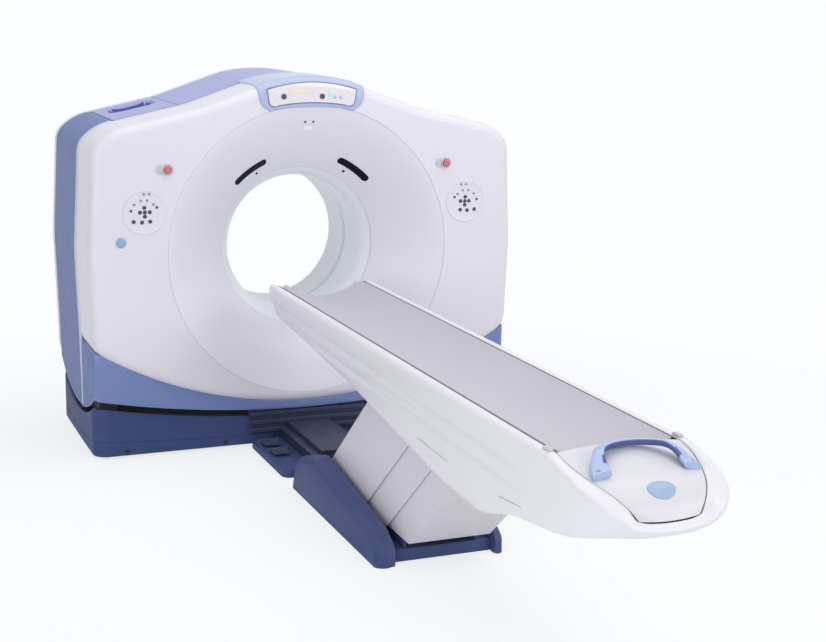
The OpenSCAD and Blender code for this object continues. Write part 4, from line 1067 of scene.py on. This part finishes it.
dockLoop = roundRect(-dock["half"], dock["half"], dock["y0"], dock["y1"], dock["corner"], dock["step"], 8)
posts = [boxPart(*shifted(dock["post"], x, y)) for y in pedal["y"].values() for x in dock["postX"]]
addPiece("dockPlate", [platePart(dockLoop, 0.0, dock["high"], dock["edge"])] + posts, "base", "navy_base",
         ["navyBase"], ["dock_plate"], soft=(0.0018, 2, 50))
beam = [boxPart((-half, dock["y0"], low), (half, dock["y1"], high)) for half, low, high in dock["beam"]]
addPiece("dockBeam", beam, "base", "dark_beam", ["darkBeam"], ["dock_beam"], soft=(0.004, 3, 50))
for name, y in pedal["y"].items():
    parts = [boxPart(*shifted(pedal["plate"], 0, y))]
    parts += [boxPart(*shifted(pedal["rib"], 0, y + pedal["pitch"] * k)) for k in range(pedal["ribs"])]
    parts.append(revolvePart(pedal["pinLine"], *shifted([pedal["pin"]], 0, y), (1, 0, 0), 20))
    addPiece("pedal_" + name, parts, "pedal_" + name, "rubber", ["pedalNavy"], ["pedal_" + name],
             soft=pedal["soft"])

# table base: floor plate, lug rails and a rounded wedge on each side, outline as (y, z, radius)
tableFoot = {"plate": ((-0.222, -2.185, 0.0), (0.222, -1.0, 0.054)), "soft": (0.006, 3, 50),
             "rail": ((0.15, -2.177, 0.0539), (0.165, -1.448, 0.165))}
wedge = {
    "x0": 0.2221, "x1": {"left": 0.302, "right": 0.262}, "depth": {"left": 0.046, "right": 0.03},
    "sole": 0.012, "step": 0.02,
    "line": [(-1.1, 0.0, 0.02), (-2.235, 0.0, 0.012), (-2.235, 0.077, 0.05), (-2.135, 0.134, 0.12),
             (-1.42, 0.232, 0.12), (-1.16, 0.16, 0.12)],
}
loop = resampled(roundedLoop(wedge["line"], 12), wedge["step"], closed=True)
parts = [boxPart(*tableFoot["plate"])]
parts += [boxPart(*sorted((sign * x, y, z) for x, y, z in tableFoot["rail"])) for sign in (-1, 1)]
addPiece("tableBase", parts, "base", "navy_base", ["navyBase"], ["table_base"], soft=tableFoot["soft"])
for sign, side in ((-1, "left"), (1, "right")):
    depth, x1 = wedge["depth"][side], wedge["x1"][side]
    rings = [[(sign * wedge["x0"], p[0], max(p[1], 0.0)) for p in loop]]
    for c, s in quarter(8):
        x = sign * (x1 - depth * (1 - s))
        rings.append([(x, p[0], max(p[1], 0.0) if q[1] > wedge["sole"] else 0.0)
                      for p, q in zip(insetLoop(loop, depth * (1 - c)), loop)])
    addPiece("tableWedge_" + side, [loft(rings, closed=True, caps=True)], "base", "navy_base", ["navyBase"])
print("dock and table base")

# side slats in three layers, and the plate that closes the foot end
slats = {"edges": (-1.298, -1.797, -2.05, -2.271), "lean": 56 / 48, "low": 0.106, "high": 0.6, "pivot": 0.13,
         "thick": 0.006, "half": 0.196, "layer": 0.008, "lap": 0.024, "rod": 0.01, "soft": (0.0022, 3, 40)}
sl = slats
slatLow, slatHigh = ((sl[end] - sl["pivot"]) * sl["lean"] for end in ("low", "high"))


def slatPart(x0, x1, y0, y1):
    corners = [(y0 - slatLow, sl["low"]), (y0 - slatHigh, sl["high"]), (y1 - slatHigh, sl["high"]),
               (y1 - slatLow, sl["low"])]
    return prismPart(*([(x, y, z) for y, z in corners] for x in (x0, x1)))


for i, name in enumerate(("head", "middle", "foot")):
    x1 = sl["half"] - i * sl["layer"]
    y0, y1 = sl["edges"][i], sl["edges"][i + 1] - sl["lap"]
    reach = x1 - sl["thick"] / 2
    parts = [slatPart(*sorted((sign * (x1 - sl["thick"]), sign * x1)), y0, y1) for sign in (-1, 1)]
    if name == "foot":
        parts.append(slatPart(-reach, reach, y1 + sl["thick"], y1))
    rod = [(0.0002, 0.0), (sl["rod"], 0.0), (sl["rod"], 2 * reach), (0.0002, 2 * reach)]
    pinY = (sl["edges"][i] + sl["edges"][i + 1]) / 2
    parts.append(revolvePart(rod, (-reach, pinY, sl["pivot"]), (1, 0, 0), 24))
    addPiece("slats_" + name + "_skin", parts, "slats_" + name, "slat_white", ["slatWhite"],
             ["slats_" + name], soft=sl["soft"])
print("slats")


def throughPoints(at, xs, ys):
    # smooth line through points, flat where it turns
    xs, ys = np.array(xs, float), np.array(ys, float)
    d = np.diff(ys) / np.diff(xs)
    a, c = d[:-1], d[1:]
    m = np.zeros(len(xs))
    m[1:-1] = np.where(a * c > 0, 2 * a * c / np.where(a + c == 0, 1, a + c), 0)
    m[0], m[-1] = d[0], d[-1]
    i = int(np.clip(np.searchsorted(xs, at) - 1, 0, len(xs) - 2))
    h = xs[i + 1] - xs[i]
    t = (at - xs[i]) / h
    ends = (2 * t ** 3 - 3 * t ** 2 + 1) * ys[i] + (-2 * t ** 3 + 3 * t ** 2) * ys[i + 1]
    return ends + (t ** 3 - 2 * t ** 2 + t) * h * m[i] + (t ** 3 - t ** 2) * h * m[i + 1]


# table body, lofted through sections of (distance from the head, half width, underside, top)
tableTop = 0.868
body = {
    "head": -0.64, "length": 2.91, "floor": 0.78, "channel": 0.2232, "rim": 0.016, "lean": 0.022,
    "keel": 0.03, "half": 0.262,
    "headSections": [(-0.034, 0.23, 0.752, 0.846), (-0.031, 0.24, 0.738, 0.857),
                     (-0.022, 0.25, 0.724, 0.8635), (-0.005, 0.258, 0.714, 0.867)],
    "undersides": [(0.03, 0.708), (0.11, 0.702), (1.04, 0.622), (1.7, 0.54), (2.12, 0.492), (2.33, 0.49),
                   (2.62, 0.56), (2.91, 0.6)],
    "lineHigh": (0.781, 0.752), "lineLow": (0.713, 0.68), "lineDeep": 0.009, "lineWide": 0.011,
    "lineSteps": (0.022, 0.015, 0.009, 0.0045, 0.0, -0.0045, -0.009, -0.015, -0.022),
    "mouth": (1.06, 2.33), "mouthHalf": 0.204, "mouthTop": 0.66,
    "headStops": [-0.034, -0.0325, -0.03, -0.026, -0.02, -0.01, 0.005, 0.03, 0.07, 0.11], "step": 0.03,
}
bd = body
table = np.array(bd["headSections"] + [(d, bd["half"], low, tableTop) for d, low in bd["undersides"]])
# places in a section's list where the rim and the flank start
rimFrom, flankFrom = 7, 13


def bodySection(d):
    # right half from the channel's floor over the rim, down the flank and under to the middle
    w, low, top = (throughPoints(d, table[:, 0], table[:, k]) for k in (1, 2, 3))
    z1, z2 = (a + (c - a) * d / bd["length"] for a, c in (bd["lineHigh"], bd["lineLow"]))
    drop, rise = min(0.06, 0.35 * (top - low)), min(0.05, 0.3 * (top - low))
    fade = smoothstep((d + 0.02) / 0.08) * (1 - smoothstep((d - 2.5) / 0.35))
    side, floor, rim = bd["channel"], bd["floor"], bd["rim"]
    half = [(0.0, floor), (0.12, floor), (side - 0.006, floor), (side - 0.001, floor + 0.002),
            (side, floor + 0.007), (side, top - 0.005), (side + 0.0012, top - 0.0015), (side + 0.004, top)]
    for cosine, sine in quarter(5):
        half.append((max(side + 0.004, w - rim + rim * sine), top - rim + rim * cosine))
    keelZ, thin = low + rise, side + 0.0036
    zs = [top - 0.03] + [z + q for z in (z1, z2) for q in bd["lineSteps"]]
    zs += [keelZ + 0.06, keelZ + 0.02, keelZ]
    ceiling = top - 0.02
    for k, z in enumerate(zs):
        zs[k] = min(z, ceiling)
        ceiling = zs[k] - 0.0016
    for z in np.maximum(zs, keelZ + 0.0014 * np.arange(len(zs) - 1, -1, -1)):
        lean = np.clip((top - drop - z) / max(0.02, top - drop - keelZ), 0, 1)
        dip = sum(math.exp(-((z - line) / bd["lineWide"]) ** 2) for line in (z1, z2))
        half.append((max(w - bd["lean"] * lean, thin) - bd["lineDeep"] * dip * fade, z))
    for cosine, sine in quarter(4)[1:]:
        half.append((max(w - bd["lean"], thin) - bd["keel"] * (1 - cosine), keelZ - rise * sine))
    return half + [(min(bd["mouthHalf"], w - 0.06), low), (0.1, low), (0.0, low)]


def inMouth(c):
    start, end = bd["mouth"]
    return abs(c[0]) < bd["mouthHalf"] and c[2] < bd["mouthTop"] and start < bd["head"] - c[1] < end


stops = [bd["headStops"], np.arange(0.14, 2.9, bd["step"]), bd["mouth"], [2.9, bd["length"]]]
rings = []
for d in np.unique(np.concatenate(stops)):
    half = bodySection(float(d))
    y = bd["head"] - d
    rings.append([(x, y, z) for x, z in half] + [(-x, y, z) for x, z in reversed(half[1:-1])])
verts, faces = loft(rings, closed=True, drop=inMouth)
faces.append(tuple(range(len(rings[0]))))
addPiece("tableBody", [(verts, faces)], "table", "table_white", ["tableWhite"], ["table_body"], sharp=40)

# thin grey strips that lie on the left flank, painted shade of a slot and a crease, as two ends of (y, z) and
# half height
flankShadeLines = [((-2.478, 0.618), (-2.78, 0.609), 0.0022), ((-3.188, 0.612), (-3.36, 0.626), 0.0026)]


def flankShadeStrip(start, end, high, proud=0.0006, sunk=0.001, count=24):
    rings = []
    for t in (k / count for k in range(count + 1)):
        y, z = (a + (c - a) * t for a, c in zip(start, end))
        section = np.array(bodySection(bd["head"] - y)[flankFrom:])
        order = np.argsort(section[:, 1])
        x = -float(np.interp(z, section[order, 1], section[order, 0]))
        tall = high * math.sqrt(max(0.02, 1 - (2 * t - 1) ** 8))
        rings.append([(x + sunk, y, z - tall), (x - proud, y, z - tall * 0.8), (x - proud, y, z + tall * 0.8),
                      (x + sunk, y, z + tall)])
    return loft(rings)


addPiece("flankShadeLines", [flankShadeStrip(*line) for line in flankShadeLines], "table", "table_white", ["flankPaintedShade"])
print("table body")

# foot end: a collar round a sunk panel, as cross lines from the back to the front
nose = {
    "seam": [(0.2262, -3.5505, 0.8672), (0.2235, -3.62, 0.8515), (0.21, -3.69, 0.834), (0.19, -3.755, 0.818),
             (0.163, -3.812, 0.796), (0.134, -3.85, 0.765), (0.11, -3.866, 0.733), (0.06, -3.873, 0.723),
             (0.0, -3.875, 0.721)],
    "crest": [(0.2385, -3.5505, 0.868), (0.237, -3.62, 0.8565), (0.228, -3.7, 0.842), (0.212, -3.77, 0.826),
              (0.186, -3.835, 0.803), (0.152, -3.872, 0.77), (0.12, -3.884, 0.734), (0.064, -3.888, 0.72),
              (0.0, -3.889, 0.716)],
    "outer": [(0.262, -3.5505, 0.84), (0.262, -3.62, 0.834), (0.26, -3.71, 0.82), (0.248, -3.785, 0.8),
              (0.22, -3.848, 0.775), (0.18, -3.884, 0.747), (0.134, -3.896, 0.72), (0.07, -3.899, 0.706),
              (0.0, -3.9, 0.702)],
    "flank": [(0.254, -3.5505, 0.74), (0.254, -3.62, 0.74), (0.251, -3.71, 0.74), (0.237, -3.785, 0.738),
              (0.209, -3.844, 0.73), (0.171, -3.876, 0.717), (0.128, -3.888, 0.703), (0.067, -3.892, 0.694),
              (0.0, -3.893, 0.692)],
    "keel": [(0.24, -3.5505, 0.65), (0.239, -3.62, 0.658), (0.234, -3.7, 0.671), (0.218, -3.77, 0.686),
             (0.19, -3.826, 0.694), (0.155, -3.856, 0.692), (0.113, -3.869, 0.686), (0.058, -3.873, 0.682),
             (0.0, -3.874, 0.68)],
    "belly": [(0.205, -3.5505, 0.6), (0.203, -3.62, 0.612), (0.192, -3.7, 0.634), (0.173, -3.765, 0.654),
              (0.144, -3.812, 0.666), (0.112, -3.838, 0.67), (0.08, -3.848, 0.67), (0.04, -3.852, 0.67),
              (0.0, -3.853, 0.67)],
    "middle": [(0.0, -3.5505, 0.6), (0.0, -3.61, 0.61), (0.0, -3.67, 0.626), (0.0, -3.72, 0.64),
               (0.0, -3.76, 0.651), (0.0, -3.79, 0.659), (0.0, -3.81, 0.664), (0.0, -3.825, 0.667),
               (0.0, -3.835, 0.668)],
}
collar = {"stations": 48, "across": 56, "fine": 120, "blend": 0.42, "inside": (0, -3.6, 0.74)}


def curveThrough(points, count):
    # smooth line through points, at even shares of its length
    pts = np.array(points, float)
    run = runAlong(pts, 1e-5)
    at = np.linspace(0, 1, count)
    return np.stack([[throughPoints(t * run[-1], run, pts[:, k]) for t in at] for k in range(3)], axis=1)


stations = collar["stations"]
lines = {}
for key, line in nose.items():
    # both halves, so that the line crosses the middle square
    whole = line + [(-x, y, z) for x, y, z in reversed(line[:-1])]
    lines[key] = curveThrough(whole, 2 * stations + 1)[:stations + 1]
rings = []
for k in range(stations + 1):
    cross = curveThrough([lines[key][k] for key in nose if key != "seam"], collar["fine"])
    rings.append(evenly(cross, collar["across"]))
# the first ring takes the table body's end section, and the shift fades along the collar
endLine = planeRing(evenly(bodySection(bd["length"])[rimFrom:], collar["across"]), bd["head"] - bd["length"])
shift = endLine - rings[0]
grid = []
for k, ring in enumerate(rings):
    seam = lines["seam"][k]
    lip = [seam + np.array((-0.02 * (seam[0] > 0.05), 0.02, -0.03)), seam + np.array((0, 0.002, -0.01)), seam]
    grid.append(lip + list(ring + shift * (1 - smoothstep(k / stations / collar["blend"]))))
grid += [[np.array((-p[0], p[1], p[2])) for p in row] for row in reversed(grid[:-1])]
addPiece("footCollar", [loft(grid)], "table", "table_white", ["tableWhite"], ["foot_cap"],
         inside=collar["inside"], sharp=46)

# sunk panel with a bare oval badge
footPanel = {"points": 7, "gap": 0.0045, "sunk": 0.0012, "bow": 0.012, "slopeFrom": 0.62, "backY": -3.553,
             "backZ": 0.783, "wall": 0.006, "soft": (0.0016, 2, 60), "inside": (0, -3.6, 0.6), "cols": 33,
             "rows": 40}
badge = {"along": 0.735, "halfU": 0.3, "halfV": 0.085, "lift": 0.0004, "steps": 40,
         "line": [(1.0, 0.0), (0.99, 0.0022), (0.94, 0.0036), (0.85, 0.003), (0.5, 0.0034), (0.01, 0.0036)]}
panelLine = np.array(nose["seam"][:footPanel["points"]])
panelRun = runAlong(panelLine)


def onPanel(u, v, lift=0.0):
    # u across from -1 to 1, v along from the handle to the front edge
    at = [throughPoints(v * panelRun[-1], panelRun, panelLine[:, k]) for k in range(3)]
    bow = 1 - u * u
    slope = smoothstep((v - footPanel["slopeFrom"]) / (1 - footPanel["slopeFrom"]))
    rise = (footPanel["bow"] * (1 - slope) + 0.002) * bow + lift * (1 - slope)
    return ((at[0] - footPanel["gap"]) * u, at[1] - (0.008 * bow + lift) * slope,
            at[2] + rise - footPanel["sunk"] - 0.008 * bow * slope)


across = np.linspace(-1, 1, footPanel["cols"])
rings = [[(onPanel(u, 0)[0], footPanel["backY"], footPanel["backZ"]) for u in across]]
rings += [[onPanel(u, v) for u in across] for v in np.linspace(0, 1, footPanel["rows"])]
addPiece("footPanel", [loft(rings)], "table", "table_white", ["capWhite"], inside=footPanel["inside"],
         wall=footPanel["wall"], soft=footPanel["soft"])
turns = [2 * math.pi * k / badge["steps"] for k in range(badge["steps"])]
rings = [[onPanel(badge["halfU"] * share * math.cos(t), badge["along"] + badge["halfV"] * share * math.sin(t),
                  lift + badge["lift"]) for t in turns] for share, lift in badge["line"]]
addPiece("footBadgePlate", [loft(rings, closed=True)], "table", "handle_blue", ["badgeBlue"])

# arched handle over the top of the panel, thicker toward its feet, with its inner faces painted dark navy as
# shade
arch = {
    "a": 0.16, "b": 0.15, "y": -3.738, "zFoot": 0.839, "zTop": 0.889, "from": 2.0, "to": 178.0,
    "thick": 0.0115, "half": 0.018, "footHalf": 0.014, "tip": -0.18, "square": 0.7, "steps": 60, "sides": 16,
    "paintedShadeIn": 0.905, "paintedShadeFrom": -3.7, "screws": (0.166, -3.716, 0.8525),
    "screw": [(0.0068, 0.0), (0.0066, 0.0016), (0.005, 0.0024), (0.0016, 0.0016), (0.0003, 0.0014)],
}


def squared(v):
    return math.copysign(abs(v) ** arch["square"], v)


# inner faces under the arch, which carry the painted shade
def inArchPaintedShade(c):
    share = math.hypot(c[0] / arch["a"], (c[1] - arch["y"]) / arch["b"])
    return share < arch["paintedShadeIn"] and c[1] > arch["paintedShadeFrom"]


turns = [2 * math.pi * j / arch["sides"] for j in range(arch["sides"])]
rings = []
for k in range(arch["steps"] + 1):
    t = math.radians(arch["from"] + (arch["to"] - arch["from"]) * k / arch["steps"])
    c, sine = math.cos(t), math.sin(t)
    z = arch["zFoot"] + (arch["zTop"] - arch["zFoot"]) * smoothstep(sine / 0.75)
    middle = Vector((arch["a"] * c, arch["y"] + arch["b"] * sine, z))
    outward = Vector((c, sine, arch["tip"])).normalized()
    outward *= arch["half"] + arch["footHalf"] * (1 - smoothstep(sine / 0.8))
    upward = Vector((0, 0, arch["thick"]))
    rings.append([middle + outward * squared(math.cos(q)) + upward * squared(math.sin(q)) for q in turns])
addPiece("cradleHandle", [loft(rings, closed=True, caps=True)], "table", "handle_blue",
         ["handleBlue", "handlePaintedShade"], ["cradle_handle"], lookOf=lambda c, i: 1 if inArchPaintedShade(c) else 0)
x, y, z = arch["screws"]
screws = [revolvePart(arch["screw"], (sign * x, y, z), (0, 0, 1), 18) for sign in (-1, 1)]
addPiece("handleScrews", screws, "table", "steel", ["steelGrey"])
print("foot end")

# cradle: a shallow trough on two runners, with a rounded head
trough = {
    "half": 0.215, "sag": 0.062, "thick": 0.012, "y0": -3.52, "y1": -0.66, "corner": 0.07, "draw": 0.55,
    "points": 41, "rim": [(0.0018, 0.8672), (0.0, 0.8645), (0.0, 0.858), (0.002, 0.8545)],
    "runner": 0.12, "runnerHalf": 0.01, "runnerZ": (0.7803, 0.812), "runnerShort": 0.02,
}
# dark strips that fill the gap between the cradle and the body, painted shadow
cradleGapShadow = {"x": 0.2192, "half": 0.0033, "y": (-3.535, -0.668), "z": (0.8605, 0.8655)}
latch = {"x": 0.236, "half": 0.01, "y": (-3.54, -3.5), "z": (0.8675, 0.8775), "soft": (0.003, 3, 50)}
tr = trough


def barPair(x, half, ys, zs):
    return [boxPart((sign * x - half, ys[0], zs[0]), (sign * x + half, ys[1], zs[1])) for sign in (-1, 1)]


def troughArc(inset, grow, points):
    radius = (tr["half"] ** 2 + tr["sag"] ** 2) / (2 * tr["sag"])
    axisZ = tableTop - tr["sag"] + radius
    edge = tr["half"] - inset
    return [(x, axisZ - math.sqrt((radius + grow) ** 2 - x * x)) for x in np.linspace(-edge, edge, points)]


section = troughArc(0.005, 0.0, tr["points"]) + [(tr["half"] - inset, z) for inset, z in tr["rim"]]
section += troughArc(0.006, tr["thick"], tr["points"])[::-1]
section += [(inset - tr["half"], z) for inset, z in reversed(tr["rim"])]
rows = [(tr["y0"], 0.985), (tr["y0"] + 0.003, 0.996), (tr["y0"] + 0.01, 1.0)]
rows += [(y, 1.0) for y in np.arange(-3.4, -0.75, 0.1)]
rows += [(tr["y1"] - tr["corner"] * (1 - sine), 1 - tr["corner"] / tr["half"] * (1 - cosine) * tr["draw"])
         for cosine, sine in quarter(7)]
verts, faces = loft([[(x * k, y, z) for x, z in section] for y, k in rows], closed=True)
upperCount, sectionCount = len(section) // 2, len(section)
for first in (0, len(verts) - sectionCount):
    # end faces as a ladder between the upper and the lower arc
    up = [first + i for i in range(upperCount)]
    down = [first + i for i in range(sectionCount - 1, upperCount - 1, -1)]
    faces += [(up[i], up[i + 1], down[i + 1], down[i]) for i in range(upperCount - 1)]
runners = barPair(tr["runner"], tr["runnerHalf"], (tr["y0"], tr["y1"] - tr["runnerShort"]), tr["runnerZ"])
addPiece("cradleTrough", [(verts, faces)] + runners, "cradle", "cradle_grey", ["cradleGrey"], ["cradle"])
# dark strips in the gap along both cradle edges: painted shadow
gapShadowStrips = barPair(cradleGapShadow["x"], cradleGapShadow["half"], cradleGapShadow["y"], cradleGapShadow["z"])
addPiece("cradleGapShades", gapShadowStrips, "table", "rubber", ["rubberBlack"])
addPiece("cradleLatchBlocks", barPair(latch["x"], latch["half"], latch["y"], latch["z"]), "table", "rubber",
         ["collarGrey"], ["cradle_latches"], soft=latch["soft"])
print("cradle")
